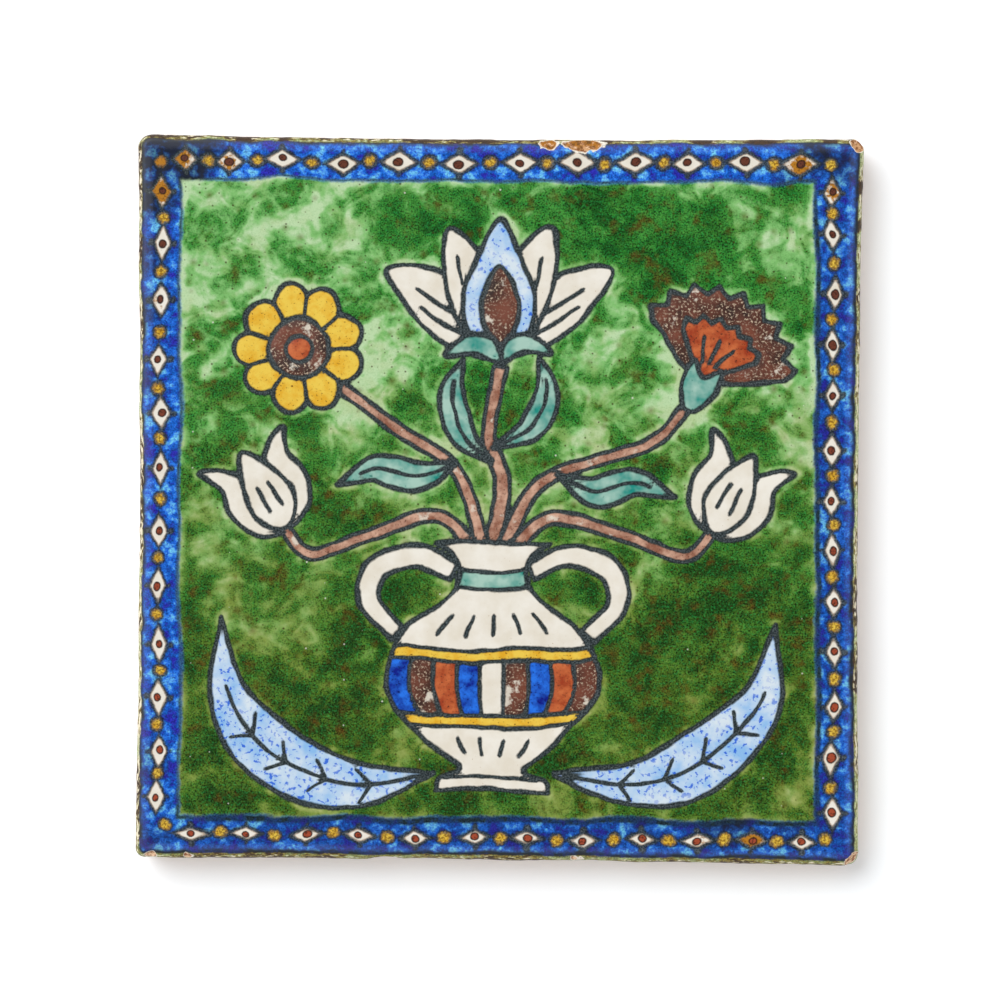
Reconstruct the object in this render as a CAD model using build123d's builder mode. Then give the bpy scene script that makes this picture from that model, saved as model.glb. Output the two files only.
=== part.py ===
"""Glazed pottery tile: one pressed slab of clay, fired and glazed, with its knocked edges.

Millimetres, +Z up. The glazed face is on top, and the flat bedding face lies on z = 0 about the
origin. +Y is the top of the design. Its edge there is called the back edge, and -Y the front edge.
"""
from build123d import *
import math
import os

# The slab, measured across the corners of its glazed face
face_width = 152.4
face_depth = 152.7
thickness = 12.0

# The front left corner was cut a little short of square
front_left_inset = 0.5
front_left_lift = 0.75

# The clay shrank as it dried, so each side is hollow by this much at its middle
back_hollow = 0.65
right_hollow = 0.7
front_hollow = 0.45
left_hollow = 0.65

# Corners worn round in plan
back_left_radius = 3.3
back_right_radius = 2.4
front_right_radius = 2.4
front_left_radius = 2.2

# A soft arris round the face, sides that lean in towards the back, a broken edge round the back
arris_radius = 1.6
side_draft = 2.0
bedding_chamfer = 0.8

# Flakes off the arris of the back edge: how far along from the back left corner the middle is, half
# the length on the arris, how deep the bite is there, and how steeply it goes in
short_flake_at = 86.3
short_flake_reach = 2.1
short_flake_bite = 0.8
long_flake_at = 93.55
long_flake_reach = 4.7
long_flake_bite = 0.8
flake_slope = 65.0

# Chips off the arris of the front edge, along from the front left corner
corner_chip_at = 3.2
corner_chip_reach = 1.6
corner_chip_bite = 0.7
outer_chip_at = 11.3
outer_chip_reach = 1.1
outer_chip_bite = 0.4
inner_chip_at = 92.6
inner_chip_reach = 1.5
inner_chip_bite = 0.4
chip_slope = 45.0

# Knocked corners on the right: the front one is broken through most of its height
back_right_reach = 2.4
back_right_bite = 0.7
back_right_slope = 50.0
front_right_reach = 3.6
front_right_bite = 1.5
front_right_slope = 30.0

# Dents pressed into the front edge before the clay was fired, and how far below the face they lie
large_dent_at = 52.7
large_dent_reach = 4.1
large_dent_depth = 0.9
small_dent_at = 16.2
small_dent_reach = 1.7
small_dent_depth = 0.6
dent_drop = 3.0

half_width = face_width / 2
half_depth = face_depth / 2
back_left = Vector(-half_width, half_depth)
back_right = Vector(half_width, half_depth)
front_right = Vector(half_width, -half_depth)
front_left = Vector(front_left_inset - half_width, front_left_lift - half_depth)
corner_radii = [
    (back_left, back_left_radius),
    (back_right, back_right_radius),
    (front_right, front_right_radius),
    (front_left, front_left_radius),
]


def ball_radius(reach, bite):
    """Radius of the ball that sinks in by bite between two points that are twice reach apart."""
    return (reach**2 + bite**2) / (2 * bite)


def place_on(side, along):
    """The plan point this far along a side from its first corner, and the way out from it."""
    share = along / side.length
    point = side @ share
    across = (side % share).rotate(Axis.Z, 90)
    return point, across if across.dot(point) > 0 else -across


def place_at_corner(corner, radius):
    """The plan point in the middle of a rounded corner, and the way out from it."""
    outward = Vector(math.copysign(1, corner.X), math.copysign(1, corner.Y)).normalized()
    return corner - outward * radius * (math.sqrt(2) - 1), outward


def bite_off(place, reach, bite, slope):
    """Take a shell-shaped bite out of the arris: a ball that goes in at slope degrees to the face.

    The bite starts where the rounded arris faces that way, is bite deep there and leaves the arris
    at reach to each side.
    """
    point, outward = place
    lean = math.radians(slope)
    axis = outward * math.cos(lean) + Vector(0, 0, math.sin(lean))
    round_centre = point - outward * arris_radius + Vector(0, 0, thickness - arris_radius)
    radius = ball_radius(reach, bite)
    with Locations(round_centre + axis * (arris_radius + radius - bite)):
        Sphere(radius, mode=Mode.SUBTRACT)


def press_dent(place, reach, depth):
    """Press a ball level into the side, dent_drop below the face."""
    point, outward = place
    radius = ball_radius(reach, depth)
    with Locations(point + outward * (radius - depth) + Vector(0, 0, thickness - dent_drop)):
        Sphere(radius, mode=Mode.SUBTRACT)


# Outline of the face: four hollow sides
with BuildLine() as outline:
    back_side = SagittaArc(back_left, back_right, -back_hollow)
    right_side = SagittaArc(back_right, front_right, -right_hollow)
    front_side = SagittaArc(front_left, front_right, front_hollow)
    left_side = SagittaArc(back_left, front_left, left_hollow)

with BuildPart() as tile:
    # Pressed slab, drawn in towards the back
    with BuildSketch(Plane.XY.offset(thickness)):
        add(outline.line)
        make_face()
    extrude(amount=-thickness, taper=side_draft)

    # Worn corners
    for corner, radius in corner_radii:
        upright = tile.edges().filter_by(Plane.XY, reverse=True).sort_by_distance(corner)[0]
        fillet(upright, radius=radius)

    # Soft arris round the face, a broken edge round the bedding face
    fillet(tile.faces().sort_by(Axis.Z)[-1].edges(), radius=arris_radius)
    chamfer(tile.faces().sort_by(Axis.Z)[0].edges(), length=bedding_chamfer)

    # Dents in the soft clay of the front edge
    press_dent(place_on(front_side, large_dent_at), large_dent_reach, large_dent_depth)
    press_dent(place_on(front_side, small_dent_at), small_dent_reach, small_dent_depth)

    # Flakes and chips off the fired edges
    bite_off(place_on(back_side, short_flake_at), short_flake_reach, short_flake_bite, flake_slope)
    bite_off(place_on(back_side, long_flake_at), long_flake_reach, long_flake_bite, flake_slope)
    bite_off(place_on(front_side, corner_chip_at), corner_chip_reach, corner_chip_bite, chip_slope)
    bite_off(place_on(front_side, outer_chip_at), outer_chip_reach, outer_chip_bite, chip_slope)
    bite_off(place_on(front_side, inner_chip_at), inner_chip_reach, inner_chip_bite, chip_slope)

    # Knocked corners
    bite_off(place_at_corner(back_right, back_right_radius),
             back_right_reach, back_right_bite, back_right_slope)
    bite_off(place_at_corner(front_right, front_right_radius),
             front_right_reach, front_right_bite, front_right_slope)

tile.part.label = "tile"
os.makedirs("parts", exist_ok=True)
export_step(tile.part, "parts/tile.step")
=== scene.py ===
"""Glazed pottery tile: the painted and fired surface of the slab, and the stage that it is shown on.

The slab is drawn in millimetres in the frame's axes: +X right, +Y to the top of the design, +Z out of the
glazed face. The mesh is written in metres. The painting is kept on the mesh as distances in millimetres,
negative inside a stroke or a filled shape, and the glaze reads them.
"""
import math
from typing import NamedTuple

import bpy
import numpy as np
from bpy.props import FloatProperty, FloatVectorProperty, PointerProperty
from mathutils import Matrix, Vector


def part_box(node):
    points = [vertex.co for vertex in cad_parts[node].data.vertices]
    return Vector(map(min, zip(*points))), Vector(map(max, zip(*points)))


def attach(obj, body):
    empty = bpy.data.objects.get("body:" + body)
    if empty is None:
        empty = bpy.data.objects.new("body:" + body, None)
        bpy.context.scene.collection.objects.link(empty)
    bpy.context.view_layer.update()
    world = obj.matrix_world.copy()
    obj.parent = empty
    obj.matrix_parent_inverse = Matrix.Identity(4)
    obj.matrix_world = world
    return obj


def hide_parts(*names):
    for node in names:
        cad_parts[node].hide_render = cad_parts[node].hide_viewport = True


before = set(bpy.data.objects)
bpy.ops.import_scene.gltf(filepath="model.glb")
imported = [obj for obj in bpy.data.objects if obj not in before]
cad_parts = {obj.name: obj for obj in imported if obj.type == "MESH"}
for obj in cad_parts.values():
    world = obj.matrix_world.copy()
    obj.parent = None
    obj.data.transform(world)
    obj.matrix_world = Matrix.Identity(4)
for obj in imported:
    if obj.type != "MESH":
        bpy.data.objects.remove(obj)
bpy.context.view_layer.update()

bl_info = {
    "name": "Glazed pottery tile",
    "version": (1, 0, 0),
    "blender": (4, 5, 0),
    "location": "View3D > Sidebar > Tile",
    "description": "A square pottery tile with a painted glaze, and the stage that it is shown on",
    "category": "Object",
}

MM = 0.001
LOW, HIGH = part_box("tile")
THICKNESS = (HIGH.z - LOW.z) / MM

# The mesh: cells along a side, how many of them one cell of the back spans, and where they lie closer
CELLS = 280
BACK_SPAN = 8
BACK_CELLS = CELLS // BACK_SPAN
EDGE_BAND = 11.0
EDGE_EASE = 4.0
EDGE_DENSITY = 1.6
ARRIS_ROWS = 6
SIDE_ROWS = 5
CHAMFER_ROWS = 2
SHARP_ANGLE = math.radians(38)
LEAST_RADIUS = 0.2
FINE_STEPS = 4001

# The face's share of the baked map, and the gap round each island
FACE_SHARE = 0.80
ISLAND_GAP = 0.006

# Distances past these, outside a stroke and inside it, don't matter
FAR, DEEP = 6.0, -20.0

# Brush strokes: outlines, and the finer lines within them
OUTLINE = 1.15
DETAIL = 0.95


def linear(code):
    """Turn an sRGB hex colour into the linear red, green, blue and alpha that shaders mix."""
    channels = np.array([int(code[i:i + 2], 16) for i in (1, 3, 5)]) / 255
    bright = ((channels + 0.055) / 1.055) ** 2.4
    return (*np.where(channels <= 0.04045, channels / 12.92, bright).tolist(), 1.0)


def length(name, description, millimetres):
    """A size that the user may change."""
    return FloatProperty(name=name, description=description, default=millimetres * MM, unit="LENGTH",
                         precision=5)


def colour(name, description, code):
    """A colour that the user may change."""
    return FloatVectorProperty(name=name, description=description, default=linear(code), size=4,
                               subtype="COLOR", min=0, max=1)


def portion(name, description, value):
    """A share from none to all that the user may change."""
    return FloatProperty(name=name, description=description, default=value, min=0, max=1)


def angled(name, description, degrees):
    """An angle that the user may change."""
    return FloatProperty(name=name, description=description, default=math.radians(degrees), subtype="ANGLE")


class TileSlab(bpy.types.PropertyGroup):
    """Sizes of the pressed slab."""

    face_width: length("Face width", "Width across the corners of the glazed face", 152.4)
    face_depth: length("Face depth", "Depth across the corners of the glazed face", 152.7)
    front_left_inset: length("Front left inset", "How far short of square its corner falls, sideways", 0.5)
    front_left_lift: length("Front left lift", "How far short of square its corner falls, upwards", 0.75)
    front_hollow: length("Front hollow", "How far the front side bows in at its middle", 0.45)
    right_hollow: length("Right hollow", "How far the right side bows in at its middle", 0.7)
    back_hollow: length("Back hollow", "How far the back side bows in at its middle", 0.65)
    left_hollow: length("Left hollow", "How far the left side bows in at its middle", 0.65)
    front_left_radius: length("Front left radius", "Worn radius of the front left corner", 2.2)
    front_right_radius: length("Front right radius", "Worn radius of the front right corner", 2.4)
    back_right_radius: length("Back right radius", "Worn radius of the back right corner", 2.4)
    back_left_radius: length("Back left radius", "Worn radius of the back left corner", 3.3)
    arris_radius: length("Arris radius", "Radius of the soft edge round the face", 1.6)
    bedding_chamfer: length("Bedding chamfer", "Broken edge round the back", 0.8)
    side_draft: angled("Side draft", "How far the sides lean in towards the back", 2)
    outline_wander: length("Outline wander", "How far the cut edges stray from a clean line", 0.07)
    face_swell: length("Face swell", "How far the face rises and falls", 0.05)
    glaze_relief: length("Glaze relief", "How far a filled shape stands above the lines that hold it", 0.05)


class TileGlazes(bpy.types.PropertyGroup):
    """Colours of the fired glazes, where they ran thin, where they pooled, and of the grains in them."""

    cream_thin: colour("Cream, thin", "White slip under clear glaze", "#EEE9DE")
    cream_thick: colour("Cream, thick", "Clear glaze pooled on the slip", "#E2DACA")
    cream_speck: colour("Cream, specks", "Iron grains in the slip", "#B79A78")
    turquoise_thin: colour("Turquoise, thin", "Copper glaze brushed out", "#A6C9BB")
    turquoise_thick: colour("Turquoise, thick", "Copper glaze pooled", "#238C80")
    turquoise_speck: colour("Turquoise, specks", "Copper grains", "#14695F")
    pale_blue_thin: colour("Pale blue, thin", "Cobalt wash brushed out", "#D6E3EC")
    pale_blue_thick: colour("Pale blue, thick", "Cobalt wash pooled", "#8CBBEA")
    pale_blue_speck: colour("Pale blue, specks", "Cobalt grains", "#1C5ED6")
    brown_thin: colour("Brown, thin", "Manganese glaze brushed out", "#74402F")
    brown_thick: colour("Brown, thick", "Manganese glaze pooled", "#33201A")
    brown_speck: colour("Brown, specks", "Slip that shows through the brown", "#C9B49B")
    salmon_thin: colour("Salmon, thin", "Iron wash brushed out", "#CDA38C")
    salmon_thick: colour("Salmon, thick", "Iron wash pooled", "#8C5A46")
    salmon_speck: colour("Salmon, specks", "Iron grains", "#5A3628")
    red_thin: colour("Red, thin", "Iron red brushed out", "#C86A3C")
    red_thick: colour("Red, thick", "Iron red pooled", "#9C3B1C")
    red_speck: colour("Red, specks", "Burnt grains in the red", "#4A2316")
    yellow_thin: colour("Yellow, thin", "Antimony glaze brushed out", "#EBC850")
    yellow_thick: colour("Yellow, thick", "Antimony glaze pooled", "#DFA728")
    yellow_speck: colour("Yellow, specks", "Burnt grains in the yellow", "#6B4312")
    cobalt_thin: colour("Cobalt, thin", "Cobalt glaze brushed out", "#2A74E6")
    cobalt_thick: colour("Cobalt, thick", "Cobalt glaze pooled", "#101F86")
    cobalt_speck: colour("Cobalt, specks", "Cobalt grains", "#080F48")
    mint: colour("Green ground, thinnest", "Copper green that ran off the slip", "#BAD8A8")
    light_green: colour("Green ground, thin", "Copper green brushed out", "#82BE70")
    leaf_green: colour("Green ground", "Copper green as laid", "#428A37")
    deep_green: colour("Green ground, thick", "Copper green pooled", "#276C24")
    bottle_green: colour("Green ground, thickest", "Copper green pooled deep", "#174F18")
    olive_pale: colour("Olive ground, thinnest", "Green turned by iron, nearly off the slip", "#A5B06A")
    olive_thin: colour("Olive ground, thin", "Green turned by iron, brushed out", "#7C9141")
    olive: colour("Olive ground", "Green turned by iron, as laid", "#4B6A20")
    olive_thick: colour("Olive ground, thick", "Green turned by iron, pooled", "#223F12")
    emerald: colour("Emerald grains", "Copper grains in the green", "#1C8440")
    rust: colour("Rust", "Iron stains in the green", "#573A12")
    azure: colour("Border, thinnest", "Cobalt blue brushed out", "#6CC0F2")
    border_blue: colour("Border", "Cobalt blue as laid", "#1259B6")
    ultramarine: colour("Border, thick", "Cobalt blue pooled", "#2A2BA6")
    navy: colour("Border, burnt", "Cobalt blue burnt at the corners", "#1D2437")
    inner_line: colour("Inner line", "Blue and green run together round the field", "#3A5A62")
    ink: colour("Ink", "Manganese outline", "#151D1F")
    ink_worn: colour("Ink, thin", "Outline where the brush ran dry", "#626D70")
    amber: colour("Amber", "Iron stain in bare glaze", "#B57A26")
    amber_deep: colour("Amber, deep", "Iron stain in a flake", "#B0701A")
    dot: colour("Lozenge dot", "Iron dot in a lozenge", "#5C372B")
    dot_red: colour("Lozenge dot, bright", "Iron red dot in a lozenge", "#A84E34")
    edge_olive: colour("Arris, olive", "Green glaze thinned over the arris", "#6F7428")
    edge_gold: colour("Arris, gold", "Glaze toasted by iron on the arris", "#8E7A36")
    edge_mint: colour("Arris, pale green", "Green glaze at its thinnest on the arris", "#B2C08A")
    edge_slip: colour("Arris, slip", "Slip that shows on the arris", "#F2E7CB")
    edge_brown: colour("Arris, brown", "Burnt glaze on the arris", "#381D07")
    edge_dark: colour("Arris, dark line", "Line inside the arris", "#141D26")
    clay: colour("Clay", "Buff earthenware", "#F5CFAA")
    clay_dark: colour("Clay, dark", "Buff earthenware in its hollows", "#97592E")
    clay_pale: colour("Clay, pale", "Slip at the rim of a flake", "#F2EBDC")


class TileStage(bpy.types.PropertyGroup):
    """The floor, the light and the camera."""

    floor_side: length("Floor side", "Side of the square floor", 6000.0)
    floor_tint: colour("Floor", "Paper on the studio floor", "#F1F4F7")
    floor_glow: portion("Floor glow", "Light that the paper adds, to be white", 0.22)
    lamp_strength: FloatProperty(name="Lamp strength", description="Light of the soft lamp", default=2.1)
    lamp_height: angled("Lamp height", "Angle of the lamp above the floor", 58)
    lamp_side: angled("Lamp side", "Where the lamp stands, from the right, anticlockwise", 135)
    lamp_softness: angled("Lamp softness", "How wide the lamp looks from the tile", 34)
    sky_strength: FloatProperty(name="Sky strength", description="Light of the pale room", default=1.0)
    sky_low: portion("Sky, low", "Share of it near the floor", 0.55)
    sky_top: portion("Sky, overhead", "Share of it overhead", 0.05)
    sky_bright: portion("Sky, brightest", "Height of its brightest ring, as a share of overhead", 0.45)
    sky_dark: portion("Sky, darkest", "Height from which it is dark, as a share of overhead", 0.92)
    camera_height: length("Camera height", "How far the camera is above the glazed face", 900.0)
    camera_right: length("Camera right", "Where the camera stands to the right of the tile's middle", 0.354)
    camera_back: length("Camera back", "Where the camera stands towards the tile's back edge", 0.317)
    camera_roll: angled("Camera roll", "How far the camera is turned", 0.4)
    frame_width: length("Frame width", "Width of the picture on the glazed face", 209.5)


class Bite(NamedTuple):
    """A shell-shaped bite: its side or corner, how far along, half its length, its depth and its slope."""

    at: str
    along: float
    reach: float
    depth: float
    slope: float


# Back and front are measured from the left, and a corner has no length of its own
BITES = (
    Bite("back", 86.3, 2.1, 0.8, 65),
    Bite("back", 93.55, 4.7, 0.8, 65),
    Bite("front", 3.2, 1.6, 0.7, 45),
    Bite("front", 11.3, 1.1, 0.4, 45),
    Bite("front", 92.6, 1.5, 0.4, 45),
    Bite("back_right", 0, 3.4, 1.05, 48),
    Bite("front_right", 0, 3.6, 1.5, 30),
)
DENTS = (
    Bite("front", 52.7, 4.1, 0.9, 0),
    Bite("front", 16.2, 1.7, 0.6, 0),
)
DENT_DROP = 3.0

# Waves in the cut edges and in the face, the share of the finer ones, and where edges end and the face begins
EDGE_WAVES, FACE_WAVES, FINE_SHARE = (16.0, 3.2), (34.0, 11.0), 0.45
LOOSE_FROM, LOOSE_TO = 7.0, 1.5
SWELL_FROM, SWELL_TO, SWELL_SINK = 0.5, 5.0, 2.0

# A break is rough by this much, in lumps of about this size that lean as they go down
BREAK_ROUGH, BREAK_LUMPS = 0.11, 1.9
LUMP_LEAN_X, LUMP_LEAN_Y = 0.6, -0.7

# Seeds of what is uneven, and how far its waves are stretched
EDGE_SEEDS, FACE_SEED, BREAK_SEED = (11, 13), 15, 31
HAND_SEED, PRESSURE_SEED, BORDER_SEED, FIELD_SEED, PALE_SEED = 1, 5, 7, 21, 17
STRETCHES = (0.7, 1.5)
CORNERS = ("front_left", "front_right", "back_right", "back_left")
SIDES = ("front", "right", "back", "left")


def ease(value, low, high):
    """Rise smoothly from 0 at low to 1 at high, by 3t² - 2t³."""
    t = np.clip((value - low) / (high - low), 0, 1)
    return t * t * (3 - 2 * t)


def ripple(x, y, size, seed, waves=9):
    """Smooth unevenness of about size millimetres: a sum of sine waves of many headings, of unit spread."""
    draw = np.random.default_rng(seed)
    headings = draw.uniform(0, 2 * np.pi, waves)
    starts = draw.uniform(0, 2 * np.pi, waves)
    stretches = draw.uniform(*STRETCHES, waves)
    total = np.zeros_like(x)
    for heading, start, stretch in zip(headings, starts, stretches):
        run = x * np.cos(heading) + y * np.sin(heading)
        total += np.sin(run * 2 * np.pi / (size * stretch) + start)
    return total / math.sqrt(waves / 2)


def grid_shares():
    """Places of the grid lines along a side, from 0 to 1, closer to each other near its ends."""
    fine = np.linspace(0, 1, FINE_STEPS)
    inward = np.minimum(fine, 1 - fine) * (HIGH.x - LOW.x) / MM
    density = EDGE_DENSITY + (1 - EDGE_DENSITY) * ease(inward, EDGE_BAND, EDGE_BAND + EDGE_EASE)
    reach = np.concatenate([[0], np.cumsum((density[1:] + density[:-1]) / 2)])
    return np.interp(np.linspace(0, reach[-1], CELLS + 1), reach, fine)


class Outline:
    """The four hollow sides of the face, anticlockwise from the front left corner, in millimetres."""

    def __init__(self, slab):
        x, y = slab.face_width / MM / 2, slab.face_depth / MM / 2
        cut = (slab.front_left_inset / MM, slab.front_left_lift / MM)
        self.corners = np.array([(cut[0] - x, cut[1] - y), (x, -y), (x, y), (-x, y)])
        self.hollows = [getattr(slab, side + "_hollow") / MM for side in SIDES]
        self.radii = [getattr(slab, corner + "_radius") / MM for corner in CORNERS]
        runs = np.roll(self.corners, -1, 0) - self.corners
        self.lengths = np.linalg.norm(runs, axis=1)
        self.ahead = runs / self.lengths[:, None]
        self.inward = np.c_[-self.ahead[:, 1], self.ahead[:, 0]]

    def bow(self, side, run):
        """How far a side bows in at a run along it: a parabola, as deep as its hollow at the middle."""
        share = run / self.lengths[side]
        return 4 * self.hollows[side] * share * (1 - share)

    def ring(self, inset, shares):
        """A closed ring inset inside the outline. Near a corner it follows a circle of the worn radius less
        the inset, and each side starts and ends halfway round its corners."""
        half_way = 1 - math.sqrt(0.5)
        sides = []
        for side in range(4):
            first, last = (max(self.radii[(side + i) % 4] - inset, LEAST_RADIUS) for i in (0, 1))
            low, high = inset + first * half_way, self.lengths[side] - inset - last * half_way
            run = low + (high - low) * shares[:-1]
            into_first = np.clip(inset + first - run, 0, first)
            into_last = np.clip(run - self.lengths[side] + inset + last, 0, last)
            rounded = first - np.sqrt(first**2 - into_first**2) + last - np.sqrt(last**2 - into_last**2)
            across = inset + self.bow(side, run) + rounded
            line = self.corners[side] + np.outer(run, self.ahead[side])
            sides.append(line + np.outer(across, self.inward[side]))
        return np.vstack(sides)

    def inset_of(self, points):
        """How far points lie inside the nearest side."""
        insets = []
        for side in range(4):
            gap = points - self.corners[side]
            insets.append(gap @ self.inward[side] - self.bow(side, gap @ self.ahead[side]))
        return np.min(insets, axis=0)

    def place(self, bite):
        """The plan point of a bite on the outline, and the way out from it."""
        if bite.at in CORNERS:
            corner = CORNERS.index(bite.at)
            outward = np.sign(self.corners[corner]) * math.sqrt(0.5)
            return self.corners[corner] - outward * self.radii[corner] * (math.sqrt(2) - 1), outward
        side = SIDES.index(bite.at)
        run = bite.along if bite.at == "front" else self.lengths[side] - bite.along
        outward = -self.inward[side]
        return self.corners[side] + self.ahead[side] * run - outward * self.bow(side, run), outward


def patch(ring, shares):
    """Fill a closed ring with a grid: a Coons patch, the two ruled surfaces less the corners' own."""
    cells = len(ring) // 4
    front, right, back = (ring[side * cells:(side + 1) * cells + 1] for side in range(3))
    left = np.vstack([ring[3 * cells:], ring[:1]])[::-1]
    back = back[::-1]
    u, v = shares[None, :, None], shares[:, None, None]
    across = (1 - u) * left[:, None] + u * right[:, None]
    upward = (1 - v) * front[None] + v * back[None]
    corners = (1 - v) * ((1 - u) * front[0] + u * front[-1]) + v * ((1 - u) * back[0] + u * back[-1])
    return across + upward - corners


def round_of(index):
    """The outer ring of a square grid of indices, anticlockwise from its first corner."""
    return np.concatenate([index[0, :-1], index[:-1, -1], index[-1, :0:-1], index[:0:-1, 0]])


def side_profile(slab):
    """Rows down from the flat face: how far inside the outline, how high, and how far along the surface from
    the outermost line. A round arris, a side that leans in by the draft, and a chamfer to the back."""
    radius, chamfer = slab.arris_radius / MM, slab.bedding_chamfer / MM
    lean = math.tan(slab.side_draft)
    turn = np.linspace(0, math.pi / 2 + slab.side_draft, ARRIS_ROWS + 1)
    centre = radius * (1 / math.cos(slab.side_draft) + lean)
    inset = centre - radius * np.sin(turn)
    height = THICKNESS - radius + radius * np.cos(turn)
    down = np.linspace(height[-1], chamfer, SIDE_ROWS + 1)[1:]
    under = np.linspace(chamfer, 0, CHAMFER_ROWS + 1)[1:]
    inset = np.concatenate([inset, (THICKNESS - down) * lean, THICKNESS * lean + chamfer - under])
    height = np.concatenate([height, down, under])
    run = np.concatenate([[0], np.cumsum(np.hypot(np.diff(inset), np.diff(height)))])
    return inset, height, run[ARRIS_ROWS] - run


class Slab:
    """The slab's mesh: points in millimetres, faces, and the places of their corners on the baked map."""

    def __init__(self, slab):
        self.outline = Outline(slab)
        shares = grid_shares()
        inset, height, self.rise = side_profile(slab)
        rings = [self.outline.ring(step, shares) for step in inset]
        face = patch(rings[0], shares)
        back = patch(rings[-1][::BACK_SPAN], shares[::BACK_SPAN])[1:-1, 1:-1]
        levels = [np.full(face[..., 0].size, height[0])]
        levels += [np.full(len(rings[0]), level) for level in height[1:]]
        levels += [np.full(back[..., 0].size, height[-1])]
        plan = np.vstack([face.reshape(-1, 2), *rings[1:], back.reshape(-1, 2)])
        self.points = np.c_[plan, np.concatenate(levels)]
        self.edge = np.concatenate([
            self.rise[0] + self.outline.inset_of(face.reshape(-1, 2)) - inset[0],
            np.repeat(self.rise[1:], len(rings[0])),
            np.full(back[..., 0].size, self.rise[-1]),
        ])
        self.build_faces(shares, back.shape[0])

    def build_faces(self, shares, back_side):
        """Squares on the face, down the sides and inside the back, and many-sided faces round the back, each
        of which takes up the short edges of several columns."""
        top = np.arange((CELLS + 1) ** 2).reshape(CELLS + 1, CELLS + 1)
        columns = 4 * CELLS
        rows = np.arange((len(self.rise) - 1) * columns).reshape(-1, columns) + top.size
        rows = np.vstack([round_of(top), rows])
        under = np.arange(back_side**2).reshape(back_side, back_side) + rows.max() + 1
        face = np.stack([top[:-1, :-1], top[:-1, 1:], top[1:, 1:], top[1:, :-1]], 2).reshape(-1, 4)
        after = np.roll(rows, -1, 1)
        skirt = np.stack([rows[:-1], rows[1:], after[1:], after[:-1]], 2).reshape(-1, 4)
        middle = np.stack([under[:-1, :-1], under[1:, :-1], under[1:, 1:], under[:-1, 1:]], 2).reshape(-1, 4)
        inner = round_of(under)
        rim = []
        for side in range(4):
            corner = side * CELLS + np.arange(BACK_SPAN, -BACK_SPAN - 1, -1)
            rim.append([*rows[-1][corner % columns], inner[side * (BACK_CELLS - 2)]])
            for cell in range(1, BACK_CELLS - 1):
                outer = side * CELLS + cell * BACK_SPAN + np.arange(BACK_SPAN, -1, -1)
                near = side * (BACK_CELLS - 2) + np.array([cell - 1, cell])
                rim.append([*rows[-1][outer % columns], *inner[near % len(inner)]])
        self.faces = [*face.tolist(), *skirt.tolist(), *middle.tolist(), *rim]
        self.glazed_faces = len(face) + len(skirt)
        self.map = np.vstack([self.face_map(face), self.skirt_map(shares),
                              self.back_map(np.concatenate([middle.ravel(), *rim]))])

    def unit_plan(self, index):
        """Places of points in plan, as shares of the tile's side."""
        size = np.abs(self.points[:, :2]).max() * 2
        return self.points[index.astype(int), :2] / size + 0.5

    def face_map(self, face):
        """The face fills the map's lower left."""
        return ISLAND_GAP + self.unit_plan(face.ravel()) * (FACE_SHARE - 2 * ISLAND_GAP)

    def back_map(self, index):
        """The back fills the map's upper right corner."""
        return FACE_SHARE + ISLAND_GAP + self.unit_plan(index) * (1 - FACE_SHARE - 2 * ISLAND_GAP)

    def skirt_map(self, shares):
        """Two strips beside the face and two above it, one for each side, with the arris uppermost."""
        strip = (1 - FACE_SHARE) / 2
        across = (self.rise - self.rise[-1]) / (self.rise[0] - self.rise[-1])
        across = ISLAND_GAP + across * (strip - 2 * ISLAND_GAP)
        along = ISLAND_GAP + shares * (FACE_SHARE - 2 * ISLAND_GAP)
        corner_rows = np.stack([across[:-1], across[1:], across[1:], across[:-1]], 1)[:, None, :]
        corner_runs = np.stack([along[:-1], along[:-1], along[1:], along[1:]], 1)[None]
        rows, runs = np.broadcast_arrays(corner_rows, corner_runs)
        sides = []
        for side in range(4):
            offset = FACE_SHARE + (side % 2) * strip
            pair = (rows + offset, runs) if side < 2 else (runs, rows + offset)
            sides.append(np.stack(pair, -1))
        return np.concatenate(sides, 1).reshape(-1, 2)

    def press(self, dents):
        """Push the side in where a ball was pressed level into the soft clay."""
        for dent in dents:
            point, outward = self.outline.place(dent)
            axis = np.array([*outward, 0])
            radius = (dent.reach**2 + dent.depth**2) / (2 * dent.depth)
            centre = np.array([*point, THICKNESS - DENT_DROP]) + axis * (radius - dent.depth)
            self.sink(centre, radius, axis)

    def bite(self, bites, arris):
        """Take shell-shaped bites off the arris, and give how far each point lies outside them.

        A bite is a ball that goes in at its slope where the round arris faces that way, as deep as its depth
        there, and leaves the arris at its reach to each side. The break is rough.
        """
        bare = np.full(len(self.points), FAR)
        for bite in bites:
            point, outward = self.outline.place(bite)
            slope = math.radians(bite.slope)
            axis = np.array([*(outward * math.cos(slope)), math.sin(slope)])
            round_centre = np.array([*(point - outward * arris), THICKNESS - arris])
            radius = (bite.reach**2 + bite.depth**2) / (2 * bite.depth)
            centre = round_centre + axis * (arris + radius - bite.depth)
            bare = np.minimum(bare, self.sink(centre, radius, axis, BREAK_ROUGH))
        return bare

    def sink(self, centre, radius, axis, rough=0.0):
        """Move the points inside a ball back along its axis, to its far side.

        Gives how far outside the ball each point was.
        """
        x, y, z = self.points.T
        reach = radius + rough * ripple(x + LUMP_LEAN_X * z, y + LUMP_LEAN_Y * z, BREAK_LUMPS, BREAK_SEED)
        gap = self.points - centre
        outside = np.linalg.norm(gap, axis=1) - reach
        along = gap @ axis
        back = along + np.sqrt(np.maximum(along**2 - (gap**2).sum(1) + reach**2, 0))
        held = outside < 0
        self.points[held] -= back[held, None] * axis
        return outside

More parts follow.
